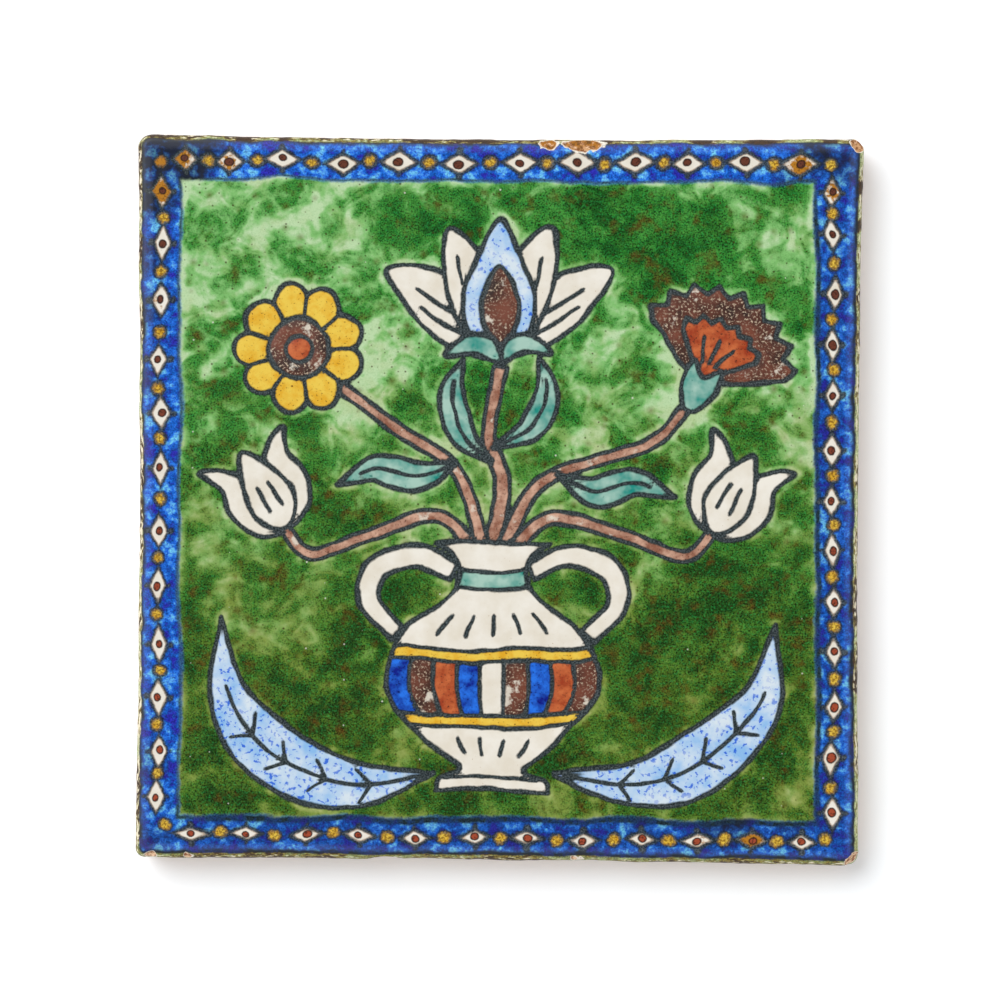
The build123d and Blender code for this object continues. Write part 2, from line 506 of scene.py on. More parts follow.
    def weather(self, slab):
        """Let the cut edges wander and the face swell, with the flat back left true."""
        x, y, z = self.points.T.copy()
        raised = ease(z, 0, THICKNESS)
        loose = raised * ease(-self.edge, -LOOSE_FROM, -LOOSE_TO) * slab.outline_wander / MM
        for axis, seed in enumerate(EDGE_SEEDS):
            slow, fine = (ripple(x, y, size, seed + i) for i, size in enumerate(EDGE_WAVES))
            self.points[:, axis] += loose * (slow + FINE_SHARE * fine)
        slow, fine = (ripple(x, y, size, FACE_SEED + i) for i, size in enumerate(FACE_WAVES))
        swell = slab.face_swell / MM / 2 * (slow + FINE_SHARE * fine - SWELL_SINK)
        self.points[:, 2] += swell * ease(self.edge, SWELL_FROM, SWELL_TO)


def spline(points, closed=False, steps=14):
    """Smooth line through the points: a Catmull-Rom curve, with steps samples from one point to the next."""
    knots = np.asarray(points, float)
    if closed:
        padded = np.vstack([knots[-1:], knots, knots[:2]])
    else:
        padded = np.vstack([2 * knots[:1] - knots[1:2], knots, 2 * knots[-1:] - knots[-2:-1]])
    a, b, c, d = (padded[i:len(padded) - 3 + i, None] for i in range(4))
    t = np.linspace(0, 1, steps, endpoint=False)[None, :, None]
    line = b + 0.5 * t * ((c - a) + t * ((2 * a - 5 * b + 4 * c - d) + t * (3 * b - a - 3 * c + d)))
    line = line.reshape(-1, 2)
    return line if closed else np.vstack([line, knots[-1:]])


def headings(line):
    """Unit steps along a line."""
    ahead = np.gradient(line, axis=0)
    return ahead / np.linalg.norm(ahead, axis=1, keepdims=True)


def ribbon(points, widths):
    """Closed outline of a band: a smooth spine, with half its width laid off square to it on each side."""
    spine = spline(points)
    profile = spline(np.c_[np.linspace(0, len(spine) - 1, len(widths)), widths])
    half = np.interp(np.arange(len(spine)), profile[:, 0], np.maximum(profile[:, 1], 0)) / 2
    ahead = headings(spine)
    square = np.c_[-ahead[:, 1], ahead[:, 0]] * half[:, None]
    return np.vstack([spine + square, (spine - square)[::-1]])


def placed(points, at, turn=0.0, size=1.0):
    """Points drawn about the origin, scaled, turned anticlockwise by degrees and carried to a place."""
    angle = math.radians(turn)
    spin = np.array([[math.cos(angle), math.sin(angle)], [-math.sin(angle), math.cos(angle)]])
    return np.asarray(points, float) * size @ spin + np.asarray(at, float)


# Steps round a circle: for each of its scallops, of which it counts as having at least so many
ARC_STEPS, LEAST_ARCS = 16, 4
SCALLOP_CURVE = 0.8


def circle(radius, scallops=0, depth=0.0):
    """Closed line round the origin. Each scallop is half a sine wave, cut in by a share of the radius."""
    angle = np.linspace(0, 2 * np.pi, ARC_STEPS * max(scallops, LEAST_ARCS), endpoint=False)
    reach = radius * (1 - depth + depth * np.abs(np.sin(scallops * angle / 2)) ** SCALLOP_CURVE)
    return reach[:, None] * np.c_[np.cos(angle), np.sin(angle)]


FILLS = ("cream", "turquoise", "pale_blue", "brown", "salmon", "red", "yellow", "cobalt")
BORDER = ("field", "lozenge", "dot", "bead", "rim")
PAINTED = (*FILLS, *BORDER, "ink", "stroke", "edge", "strip", "line", "inner", "dark", "bare", "thick",
           "amber", "smoke", "thinned", "burnt", "slip")

# A run of no length is taken as this long, and a side that is far off counts this much
LEAST_RUN, LEAST_NEARNESS = 1e-12, 1e-6


class Canvas:
    """The painted face: how far each point lies outside each glaze and outside the ink, in millimetres.

    The layer stroke tells where a point lies across its nearest stroke, -1 and 1 at the stroke's two sides.
    It runs straight through zero along the middle, so that a stroke finer than the mesh's cells stays whole.
    """

    def __init__(self, points):
        self.points = points
        self.layers = {name: np.full(len(points), FAR) for name in (*FILLS, *BORDER, "ink")}
        self.stroke = np.full(len(points), FAR)

    def measure(self, line, closed):
        """The points near a line, how far they are from it, and on which side: -1 inside a closed line or to
        the right of an open one, and 1 on the other side."""
        near = ((self.points > line.min(0) - FAR) & (self.points < line.max(0) + FAR)).all(1)
        index = np.flatnonzero(near)
        start = line if closed else line[:-1]
        end = np.roll(line, -1, 0) if closed else line[1:]
        run = end - start
        gap = self.points[index, None] - start
        share = np.clip((gap * run).sum(2) / np.maximum((run * run).sum(1), LEAST_RUN), 0, 1)
        square = ((gap - share[..., None] * run) ** 2).sum(2)
        nearest = square.argmin(1)
        rows = np.arange(len(index))
        away = np.sqrt(square[rows, nearest])
        if closed:
            level = self.points[index, 1:]
            crossed = (start[:, 1] > level) != (end[:, 1] > level)
            rise = np.where(run[:, 1] == 0, 1, run[:, 1])
            to_left = self.points[index, :1] < start[:, 0] + (level - start[:, 1]) * run[:, 0] / rise
            held = (crossed & to_left).sum(1) % 2 == 1
            return index, away, np.where(held, -1, 1)
        ahead, beside = run[nearest], gap[rows, nearest]
        return index, away, np.where(ahead[:, 0] * beside[:, 1] < ahead[:, 1] * beside[:, 0], -1, 1)

    def cover(self, index, signed, glaze):
        """Lay a glaze over what is there, where the signed distance is negative."""
        for layer in self.layers.values():
            layer[index] = np.maximum(layer[index], -signed)
        self.join(index, signed, glaze)

    def join(self, index, signed, glaze):
        """Add to a glaze, with the others left as they are."""
        self.layers[glaze][index] = np.minimum(self.layers[glaze][index], signed)

    def trace(self, index, away, side, stroke):
        """Add a stroke of ink, and keep where each point that is nearest to it lies across it."""
        outside = away - stroke / 2
        nearer = outside < self.layers["ink"][index]
        self.stroke[index[nearer]] = (2 * side * away / stroke)[nearer]
        self.join(index, outside, "ink")

    def fill(self, line, glaze, stroke=OUTLINE):
        """Fill a closed line with a glaze, and draw its outline."""
        index, away, side = self.measure(line, True)
        self.cover(index, side * away, glaze)
        self.trace(index, away, side, stroke)

    def draw(self, line, stroke=DETAIL):
        """Draw an open line with round ends."""
        self.trace(*self.measure(np.asarray(line, float), False), stroke)


# A painter's hand: how far it sways over how long a run, the brush's pressure, and how the fired glaze stands
HAND_SWAYS = ((0.22, 19.0), (0.05, 4.5))
PRESSURE, PRESSURE_RUN = 0.1, 7.0
DOME_FROM, DOME_TO = 0.2, 1.6
GROOVE_FROM, GROOVE_TO = -0.2, 0.4
FLAT_FROM, FLAT_TO, SUNK_FROM, SUNK_TO = 3.0, 5.0, 1.0, 0.5


def by_hand(points):
    """Places on the face as an unsteady hand takes them: a slow sway and a fine tremor."""
    x, y = points.T
    moved = points.copy()
    for axis in (0, 1):
        for order, (reach, run) in enumerate(HAND_SWAYS):
            moved[:, axis] += reach * ripple(x, y, run, HAND_SEED + order + len(HAND_SWAYS) * axis)
    return moved


# Shares of a stem's width along it, and of a leaf's, whose stalk has a width of its own
STEM_WIDTHS = (1.15, 1.0, 0.9)
LEAF_STALK, LEAF_WIDTHS = 0.3, (0.62, 1.0, 0.92, 0.55, 0.0)

# The midrib runs from a sample to a share of the leaf's length, and veins stand on a part of it
RIB_FROM, RIB_TO = 2, 0.8
VEINS_FROM, VEINS_TO = 0.2, 0.6
VEIN_AHEAD, VEIN_OUT, VEIN_STROKE = 0.22, 0.27, 0.85


def paint_stem(canvas, points, width):
    """A stem: a ribbon that tapers a little towards its flower."""
    canvas.fill(ribbon(points, [width * share for share in STEM_WIDTHS]), "salmon", DETAIL)


def paint_leaf(canvas, points, width, glaze="turquoise", veins=0):
    """A pointed leaf: a ribbon that swells, with a midrib and pairs of short veins."""
    canvas.fill(ribbon(points, [LEAF_STALK, *(width * share for share in LEAF_WIDTHS)]), glaze)
    rib = spline(points)
    canvas.draw(rib[RIB_FROM:int(len(rib) * RIB_TO)])
    ahead = headings(rib)
    for share in np.linspace(VEINS_FROM, VEINS_TO, veins):
        i = int(len(rib) * share)
        for out in (np.array([-ahead[i, 1], ahead[i, 0]]), np.array([ahead[i, 1], -ahead[i, 0]])):
            tip = rib[i] + width * (VEIN_AHEAD * ahead[i] + VEIN_OUT * out)
            canvas.draw([rib[i], tip], DETAIL * VEIN_STROKE)


# A rosette in shares of its radius: how deep its scallops are, its eye, how far its petals part, its heart
SCALLOP_DEPTH, ROSETTE_EYE, PETALS_PART, ROSETTE_HEART = 0.2, 0.46, 0.8, 0.2


def paint_rosette(canvas, at, radius, petals):
    """A flower seen from the front: a scalloped ring of petals round a ringed eye."""
    canvas.fill(placed(circle(radius, petals, SCALLOP_DEPTH), at), "yellow")
    for petal in range(petals):
        canvas.draw(placed([(ROSETTE_EYE, 0), (PETALS_PART, 0)], at, 360 * petal / petals, radius))
    canvas.fill(placed(circle(ROSETTE_EYE * radius), at), "brown")
    canvas.fill(placed(circle(ROSETTE_HEART * radius), at), "red", DETAIL)


def paint_tulip(canvas, at, turn, size):
    """Two petals that flare outwards, and a pointed one in front of them."""
    flared = [(-0.04, 0.0), (-0.42, 0.1), (-0.58, 0.5), (-0.5, 0.86), (-0.64, 1.2), (-0.3, 1.04), (-0.1, 0.7)]
    pointed = [(0, -0.02), (-0.22, 0.14), (-0.3, 0.5), (0, 1.16), (0.3, 0.5), (0.22, 0.14)]
    for flip in (1, -1):
        canvas.fill(placed(spline(np.array(flared) * (flip, 1), True), at, turn, size), "cream")
    canvas.fill(placed(spline(pointed, True), at, turn, size), "cream")
    for line in ([(-0.1, 0.3), (-0.08, 0.66)], [(0.1, 0.3), (0.08, 0.66)]):
        canvas.draw(placed(line, at, turn, size))


# A toothed fan in shares of its radius: where its notches end, how high it stands and how flat it is
FAN_NOTCH, FAN_LIFT, FAN_FLAT = 0.86, 0.18, 0.92


def fan(radius, teeth, spread, foot):
    """Closed outline of a toothed fan that opens upwards by spread degrees to each side, from its foot."""
    angle = np.radians(np.linspace(90 + spread, 90 - spread, 2 * teeth + 1))
    reach = radius * np.where(np.arange(2 * teeth + 1) % 2, 1.0, FAN_NOTCH)
    rim = np.c_[reach * np.cos(angle), FAN_LIFT * radius + FAN_FLAT * reach * np.sin(angle)]
    return np.vstack([foot, rim])


def paint_carnation(canvas, at, turn, size):
    """A toothed fan of petals, a smaller one in front of it, and the cup that holds them."""
    outer = fan(1.0, teeth=9, spread=78, foot=[(0.42, 0.1), (0, -0.05), (-0.42, 0.1)])
    inner = fan(0.64, teeth=6, spread=58, foot=[(0, -0.02)])
    canvas.fill(placed(outer, at, turn, size), "brown")
    canvas.fill(placed(inner, at, turn, size), "red")
    for lean in (-24, 0, 24):
        canvas.draw(placed(placed([(0, 0.2), (0, 0.46)], (0, 0), lean), at, turn, size))
    cup = [(-0.17, 0.16), (-0.2, -0.12), (-0.08, -0.4), (0.08, -0.4), (0.2, -0.12), (0.17, 0.16), (0, 0.02)]
    canvas.fill(placed(spline(cup, True), at, turn, size), "turquoise")


def paint_lotus(canvas, at, size):
    """Open petals in two pairs, a pale pointed one with a dark heart before them, and two sepals below."""
    pairs = (
        ([(0.0, 0.0), (-0.34, 0.02), (-0.78, 0.30), (-1.08, 0.78), (-0.66, 0.78), (-0.2, 0.5)],
         [[(-0.2, 0.12), (-0.5, 0.26), (-0.76, 0.42)], [(-0.26, 0.29), (-0.56, 0.44), (-0.8, 0.59)]]),
        ([(0.0, 0.0), (-0.32, 0.2), (-0.52, 0.66), (-0.50, 1.16), (-0.2, 0.98), (0.0, 0.6)],
         [[(-0.2, 0.34), (-0.34, 0.62), (-0.4, 0.9)]]),
    )
    for petal, lines in pairs:
        for flip in ((1, 1), (-1, 1)):
            canvas.fill(placed(spline(np.array(petal) * flip, True), at, 0, size), "cream")
            for line in lines:
                canvas.draw(placed(spline(np.array(line) * flip), at, 0, size))
    pale = [(0, -0.04), (-0.26, 0.16), (-0.34, 0.52), (-0.2, 0.92),
            (0, 1.28), (0.2, 0.92), (0.34, 0.52), (0.26, 0.16)]
    heart = [(0, 0.06), (-0.15, 0.26), (-0.16, 0.52), (0, 0.84), (0.16, 0.52), (0.15, 0.26)]
    canvas.fill(placed(spline(pale, True), at, 0, size), "pale_blue")
    canvas.fill(placed(spline(heart, True), at, 0, size), "brown")
    for flip in ((1, 1), (-1, 1)):
        sepal = np.array([(0, -0.1), (0.22, 0.0), (0.5, -0.02), (0.3, 0.16), (0.06, 0.12)]) * flip
        canvas.fill(placed(spline(sepal, True), at, 0, size), "turquoise")


# The vase: its middle, its right side from the foot to the lip, a handle, and its bands from low to high
VASE_MIDDLE = -1.0
VASE_SIDE = ((11.5, -61.0), (11.0, -58.4), (6.6, -56.0), (14.0, -50.5), (21.0, -42.5), (22.0, -35.0),
             (18.0, -27.0), (10.0, -21.0), (7.0, -16.5), (8.0, -12.0), (12.0, -9.0))
VASE_HANDLE = ((8.0, -15.0), (16.0, -11.5), (24.5, -14.5), (26.0, -22.0), (20.0, -28.5))
VASE_BANDS = ((-47.0, -44.6, "yellow"), (-33.0, -30.6, "yellow"), (-18.2, -14.6, "turquoise"))
VASE_STRIPES = ("cobalt", "brown", "red", "cobalt", "cream", "brown", "cobalt", "red", "brown")
VASE_BOW = -0.9
HANDLE_WIDTHS = (3.6, 4.2, 4.6, 4.2, 3.4)
BAND_STEPS, STRIPE_STEPS, LINE_STEPS = 21, 10, 5

# Short lines on its shoulder and above its foot: their low and high ends, how wide they spread and how many
SHOULDER_LINES, SHOULDER_SPREAD, SHOULDER_COUNT = (-27.4, -23.6), 0.62, 5
FOOT_LINES, FOOT_SPREAD, FOOT_COUNT = (-52.4, -49.4), 0.5, 4
FOOT_RIM = ((-9.6, -58.2), (9.6, -58.2))


def paint_vase(canvas):
    """A turned vase with two handles. Its bands bow down at the middle, as rings on a round body do."""
    side = spline(VASE_SIDE)
    shift = np.array([VASE_MIDDLE, 0])

    def on_body(share, level):
        """Points at a share of the half width, from -1 to 1, at a level."""
        share, level = np.broadcast_arrays(share, level)
        half = np.interp(level, side[:, 1], side[:, 0])
        return np.c_[VASE_MIDDLE + share * half, level + VASE_BOW * (1 - share**2)]

    for flip in ((1, 1), (-1, 1)):
        canvas.fill(ribbon(np.array(VASE_HANDLE) * flip + shift, HANDLE_WIDTHS), "cream")
    canvas.fill(np.vstack([side, side[::-1] * (-1, 1)]) + shift, "cream")
    sweep = np.linspace(-1, 1, BAND_STEPS)
    for low, high, glaze in VASE_BANDS:
        canvas.fill(np.vstack([on_body(sweep, low), on_body(sweep, high)[::-1]]), glaze, DETAIL)
    cuts = np.linspace(-1, 1, len(VASE_STRIPES) + 1)
    levels = np.linspace(VASE_BANDS[0][1], VASE_BANDS[1][0], STRIPE_STEPS)
    for left, right, glaze in zip(cuts, cuts[1:], VASE_STRIPES):
        canvas.fill(np.vstack([on_body(left, levels), on_body(right, levels)[::-1]]), glaze, DETAIL)
    for flip in ((1, 1), (-1, 1)):
        canvas.draw(side * flip + shift, OUTLINE)
    for share in np.linspace(-SHOULDER_SPREAD, SHOULDER_SPREAD, SHOULDER_COUNT):
        canvas.draw(on_body(share, np.linspace(*SHOULDER_LINES, LINE_STEPS)))
    for share in np.linspace(-FOOT_SPREAD, FOOT_SPREAD, FOOT_COUNT):
        canvas.draw(on_body(share, np.linspace(*FOOT_LINES, LINE_STEPS)))
    canvas.draw(np.array(FOOT_RIM) + shift)


# Stems and small leaves from the vase outwards, and the long leaves below, each with its width
STEMS = (
    (((-1, -10), (1, 4), (-2, 14), (0, 28)), 2.8),
    (((-3, -10), (-8, 5), (-20, 14), (-34, 24)), 2.4),
    (((1, -10), (8, 3), (22, 9), (33, 13), (40, 20)), 2.4),
    (((-5, -10), (-13, -3.5), (-26, -7), (-38.5, -11.5), (-45, -6)), 2.4),
    (((3, -10), (11, -3.5), (25, -7), (38.5, -11.5), (45.5, -5.5)), 2.4),
)
LONG_LEAVES = (
    (((-13, -57), (-30, -60), (-46, -54), (-56, -42), (-58, -25)), 13),
    (((12, -57), (29, -59.5), (45, -53), (55, -42), (58.5, -26)), 13),
)
SMALL_LEAVES = (
    (((-9, 8), (-17, 4.5), (-26, 6.5), (-34, 3)), 6.5),
    (((12, 5.5), (20, 1.5), (29, 4), (37, 1)), 6.5),
    (((-1, 8), (-8, 14), (-10, 22), (-7, 30)), 6),
    (((-1, 11), (7, 15), (10, 22), (8, 30)), 6),
)


def paint_field(canvas):
    """A vase of flowers, with stems and leaves behind and two long leaves below."""
    for points, width in STEMS:
        paint_stem(canvas, points, width)
    for points, width in LONG_LEAVES:
        paint_leaf(canvas, points, width, "pale_blue", veins=4)
    for points, width in SMALL_LEAVES:
        paint_leaf(canvas, points, width)
    paint_lotus(canvas, at=(0, 31), size=22)
    paint_rosette(canvas, at=(-42, 31.5), radius=13.5, petals=9)
    paint_carnation(canvas, at=(43, 26), turn=-24, size=18)
    paint_tulip(canvas, at=(-44.5, -6), turn=30, size=15.5)
    paint_tulip(canvas, at=(45, -6), turn=-28, size=15.5)


class Row(NamedTuple):
    """One side of the border: which way it runs, its centre line at either end, its lozenges' places along
    it, half a lozenge's length and width, the radius of its dot, half a bead's length and width, the dark
    rims of lozenges and of beads, and how many of its first lozenges are small."""

    axis: int
    start: float
    end: float
    lozenges: tuple
    half_length: float
    half_width: float
    dot: float
    bead: tuple
    lozenge_rim: float
    bead_rim: float
    small: int = 0


ROWS = (
    Row(0, 70.8, 70.8, (-65.9, -56.5, -45.8, -33.4, -20.9, -8.7, 4.3, 16.0, 28.1, 39.4, 51.4, 62.7),
        3.2, 1.85, 0.95, (1.0, 0.9), 0.8, 0.92, 2),
    Row(1, -71.0, -71.0, (64.0, 53.1, 41.4, 28.8, 17.7, 6.0, -6.8, -18.5, -30.5, -41.8, -53.1, -62.3),
        3.05, 1.66, 0.84, (1.0, 0.95), 0.62, 0.72),
    Row(1, 70.5, 69.6, (64.8, 56.0, 43.9, 32.8, 22.3, 11.0, 0.3, -10.0, -20.7, -31.6, -42.5, -53.6, -65.1),
        2.8, 1.58, 0.92, (1.08, 1.0), 0.74, 0.7),
    Row(0, -69.9, -71.5, (-63.9, -52.8, -39.6, -28.5, -17.0, -4.6, 6.5, 18.2, 30.8, 42.1, 53.4, 64.1),
        2.7, 1.22, 0.84, (1.15, 1.0), 0.75, 0.6),
)
CORNER_BEADS = ((-70.95, 70.5), (69.4, 70.5), (-69.35, -68.2), (69.2, -70.7))
CORNER_BEAD = (1.1, 1.05)
CORNER_RIM = 0.6
FIELD = ((-66.1, -66.3), (67.1, -67.0), (65.7, 66.9), (-67.0, 66.6))
FIELD_SWAY, FIELD_WAVES = 0.1, 13.0
ROW_REACH = 66.0
LOZENGE_CURVE = 1.05
LOZENGE_SPREAD = (0.9, 1.1)
SMALL_LOZENGE = 0.7
DAB_RADIUS, DAB_OUT, DAB_SPREAD = 0.68, 0.85, (0.7, 1.3)
DOT_LEAN, DOT_SPREAD = 0.86, (0.85, 1.1)
STRAY_STROKE = 0.28


def paint_border(canvas):
    """A blue band round the field, with a row of lozenges, each with a dot, and beads between them.

    A lozenge is (|x|/a)^p + (|y|/b)^p < 1 with p a little over 1, so that its sides are nearly straight. Its
    distance is that sum's p-th root less one, times the height of its triangle.
    """
    draw = np.random.default_rng(BORDER_SEED)
    x, y = canvas.points.T
    corners = np.array(FIELD)
    runs = np.roll(corners, -1, 0) - corners
    outward = np.c_[runs[:, 1], -runs[:, 0]] / np.linalg.norm(runs, axis=1, keepdims=True)
    field = np.max([(canvas.points - corner) @ out for corner, out in zip(corners, outward)], axis=0)
    canvas.layers["field"] = field + FIELD_SWAY * ripple(x, y, FIELD_WAVES, FIELD_SEED)
    for row in ROWS:
        along, across = canvas.points[:, row.axis], canvas.points[:, 1 - row.axis]
        middle = row.start + (row.end - row.start) * (along + ROW_REACH) / (2 * ROW_REACH)
        places = np.array(row.lozenges)
        for order, place in enumerate(places):
            long, wide = np.array([row.half_length, row.half_width]) * draw.uniform(*LOZENGE_SPREAD, 2)
            long *= SMALL_LOZENGE if order < row.small else 1
            offset = across - middle - draw.uniform(-STRAY_STROKE, STRAY_STROKE)
            near = np.flatnonzero((np.abs(along - place) < long + FAR) & (np.abs(offset) < wide + FAR))
            run, off = np.abs(along[near] - place), np.abs(offset[near])
            reach = ((run / long) ** LOZENGE_CURVE + (off / wide) ** LOZENGE_CURVE) ** (1 / LOZENGE_CURVE)
            signed = (reach - 1) * long * wide / math.hypot(long, wide)
            canvas.join(near, signed, "lozenge")
            canvas.join(near, signed - row.lozenge_rim, "rim")
            dab = np.hypot(run, off - wide - DAB_OUT) - DAB_RADIUS * draw.uniform(*DAB_SPREAD)
            canvas.join(near, dab, "rim")
            sway, lift = draw.uniform(-STRAY_STROKE, STRAY_STROKE, 2)
            dot = np.hypot((along[near] - place - sway) * DOT_LEAN, offset[near] - lift)
            canvas.join(near, dot - row.dot * draw.uniform(*DOT_SPREAD), "dot")
        for place in (places[1:] + places[:-1]) / 2:
            sway, lift = draw.uniform(-STRAY_STROKE, STRAY_STROKE, 2)
            paint_bead(canvas, along - place - sway, across - middle - lift, row.bead, row.bead_rim)
    for corner in CORNER_BEADS:
        paint_bead(canvas, x - corner[0], y - corner[1], CORNER_BEAD, CORNER_RIM)


def paint_bead(canvas, along, across, half, rim):
    """A round bead in a dark rim: an ellipse, its distance taken at its mean radius."""
    near = np.flatnonzero(np.hypot(along, across) < FAR)
    signed = (np.hypot(along[near] / half[0], across[near] / half[1]) - 1) * (half[0] + half[1]) / 2
    canvas.join(near, signed, "bead")
    canvas.join(near, signed - rim, "rim")


class Stain(NamedTuple):
    """A soft patch on the face: where it is, how far it reaches and how strong it is."""

    x: float
    y: float
    reach: float
    strength: float


# Share of a patch that is full
STAIN_CORE = 0.3

# Iron amber, smoke, burnt glaze on the arris, and the ground's thick and thin places
AMBER_STAINS = (
    Stain(-69, 71, 6, 1.0), Stain(-71, 64, 4, 0.9), Stain(-57, 70.5, 3, 0.6), Stain(-72, 41, 3, 0.35),
    Stain(74, 74, 5, 0.6), Stain(63, 70, 4, 0.8), Stain(70, 65, 3, 0.6), Stain(42.5, -71, 3.5, 0.35),
    Stain(53.4, -71, 4, 0.95), Stain(10.1, 75.5, 4.3, 1.0), Stain(15.4, 75.5, 4.4, 1.0),
    Stain(19.4, 75.5, 4.4, 1.0),
)
SMOKE_STAINS = (
    Stain(-72, 72.5, 10, 1.0), Stain(-63, 73, 8, 0.9), Stain(-65, 69, 7, 1.0), Stain(-73, 63, 8, 0.9),
    Stain(-74, 50, 6, 0.6), Stain(-74.5, 40, 6, 0.6), Stain(-74.5, 24, 5, 0.5), Stain(-73, -55, 7, 0.45),
    Stain(66, 73, 7, 0.8), Stain(60, 69, 4, 0.5), Stain(72, 70, 6, 0.7), Stain(-71, -72, 6, 0.5),
    Stain(48, -67.5, 9, 0.8), Stain(62, -68, 6, 0.6), Stain(30, -68, 7, 0.5),
)
BURNT_STAINS = (
    Stain(-75, 75, 8, 0.4), Stain(-53.5, 75, 2.2, 1.0), Stain(-45.2, 75, 1.8, 1.0), Stain(-17, 75, 6, 0.6),
    Stain(-5, 75, 9, 0.5), Stain(3, 75, 8, 0.5), Stain(26, 75, 8, 0.4), Stain(42.2, 75, 3.5, 1.0),
    Stain(55, 75, 6, 0.9), Stain(69.2, 75, 2.4, 1.0), Stain(-75, 66, 10, 0.2), Stain(-75, 52, 5, 0.5),
    Stain(-75, 34, 9, 0.35), Stain(-75, 0, 9, 0.5), Stain(-75, -62, 9, 0.35), Stain(75, 65.9, 2.4, 0.9),
    Stain(75, 58.4, 2, 0.9), Stain(75, 40, 10, 0.35), Stain(75, -22, 9, 0.4), Stain(75, -35, 9, 0.45),
    Stain(-45, -75, 30, 0.15), Stain(-10, -75, 25, 0.1),
)
THICK_PATCHES = (
    Stain(-12, 58, 13, 1.2), Stain(33, 56, 17, 1.2), Stain(-38, 2, 14, 0.5), Stain(-64, 0, 12, 0.5),
    Stain(51, -24, 26, 0.6), Stain(0, -54, 30, 0.7), Stain(-52, -46, 24, 0.8), Stain(24, -40, 22, 0.8),
    Stain(60, 14, 12, 0.4), Stain(54, -52, 20, 1.0), Stain(36, -60, 16, 0.9), Stain(-28, -14, 17, 0.7),
    Stain(12, 61, 16, 1.3), Stain(-33, -31, 13, 0.6),
)
THIN_PATCHES = (
    Stain(-60, 57, 17, 1.15), Stain(-64, 64, 9, 1.6), Stain(-42, 60, 14, 0.8), Stain(-31, 62, 9, 0.55),
    Stain(-21, 33, 17, 1.0), Stain(-34, 20, 12, 0.8), Stain(4, 46, 12, 0.7), Stain(54, 52, 13, 0.45),
    Stain(50, 38, 15, 0.7), Stain(37, 19, 11, 0.8), Stain(61, 30, 9, 0.1), Stain(-63, 34, 12, 0.7),
    Stain(-65, 42, 8, 1.1), Stain(-65, 29, 8, 1.1), Stain(-53, 13, 11, 0.4), Stain(-55, -17, 9, 0.1),
    Stain(65, -56, 7, 1.4), Stain(62, -64, 8, 1.5), Stain(52, -66, 6, 1.2),
)

# How thick the ground is at the back and at the front, how far a patch changes that, and where the front's
# thickness begins and is full
THICK_BACK, THICK_FRONT, THICK_PULL = 0.45, 0.66, 0.24
FRONT_FROM, FRONT_TO = 30.0, -40.0

# How far the ground thins beside the band on each side, over how many millimetres, and how evenly
SIDE_PALE = {"front": 0.3, "right": 0.55, "back": 0.4, "left": 0.5}
PALE_REACH, PALE_EVEN, PALE_RUN = 1.9, 0.6, 12.0

# The arris of each side: how far up it the strip of thin glaze reaches, the dark line inside that, how far
# the strip is thinned to pale green, how far it is burnt as a whole and at its outermost, how much slip
# shows, and how much less of it where the glaze is scorched
SIDE_STRIP = {"front": 2.0, "right": 1.85, "back": 1.9, "left": 1.6}
SIDE_LINE = {"front": 0.9, "right": 0.85, "back": 0.5, "left": 0.65}
SIDE_THINNED = {"front": 0.1, "right": 0.72, "back": 0.3, "left": 0.5}
SIDE_BURNT = {"front": 0.24, "right": 0.12, "back": 0.24, "left": 0.14}
OUTER_BURNT = {"front": 0.3, "right": 0.2, "back": 0.35, "left": 0.16}
SIDE_SLIP = {"front": 0.2, "right": 0.44, "back": 0.22, "left": 0.5}
SLIP_LOST = 0.5
OUTER_FROM, OUTER_TO = 0.8, 1.4

# The line between the field and the band: its width, and how dark it ran
SIDE_INNER = {"front": 1.2, "right": 1.05, "back": 0.6, "left": 0.6}
SIDE_DARK = {"front": 0.85, "right": 0.75, "back": 0.1, "left": 0.15}

# How far the blue band is darkened along each side
SIDE_SMOKE = {"front": 0.34, "right": 0.26, "back": 0.0, "left": 0.05}

# Streaks in the glaze on the arris are this much longer than they are wide
STREAK = 3.0

# Shares of the tile's half width between which a side begins to count: at the arris, and in the band
AT_ARRIS, IN_BAND = (0.94, 0.98), (0.78, 0.86)


def stained(points, stains):
    """How strongly soft round patches colour the points."""
    total = np.zeros(len(points))
    for stain in stains:
        away = np.hypot(points[:, 0] - stain.x, points[:, 1] - stain.y)
        total = np.maximum(total, stain.strength * (1 - ease(away, STAIN_CORE * stain.reach, stain.reach)))
    return total


def by_side(points, values, begins=AT_ARRIS):
    """A value for each side, shared out where sides meet."""
    x, y = points[:, 0] / (HIGH.x / MM), points[:, 1] / (HIGH.y / MM)
    nearness = np.array([ease(away, *begins) for away in (-y, x, y, -x)]) + LEAST_NEARNESS
    return np.array([values[side] for side in SIDES]) @ nearness / nearness.sum(0)


def edge_streaks(points, edge):
    """Where each point lies along its nearest side and across the arris, drawn out along it, in metres."""
    x, y = points.T
    along = np.where(np.abs(x) * HIGH.y > np.abs(y) * HIGH.x, y, x)
    return np.c_[along / STREAK, edge, np.sign(points.sum(1))] * MM


def ground_thickness(points, field):
    """How thick the green ground was laid: more towards the front, in patches, and less beside the band."""
    laid = THICK_BACK + (THICK_FRONT - THICK_BACK) * ease(-points[:, 1], -FRONT_FROM, -FRONT_TO)
    pale = by_side(points, SIDE_PALE, IN_BAND) * (1 - ease(-field, 0, PALE_REACH))
    pale *= np.clip(PALE_EVEN + (1 - PALE_EVEN) * ripple(*points.T, PALE_RUN, PALE_SEED), 0, 1)
    return laid + THICK_PULL * (stained(points, THICK_PATCHES) - stained(points, THIN_PATCHES)) - pale


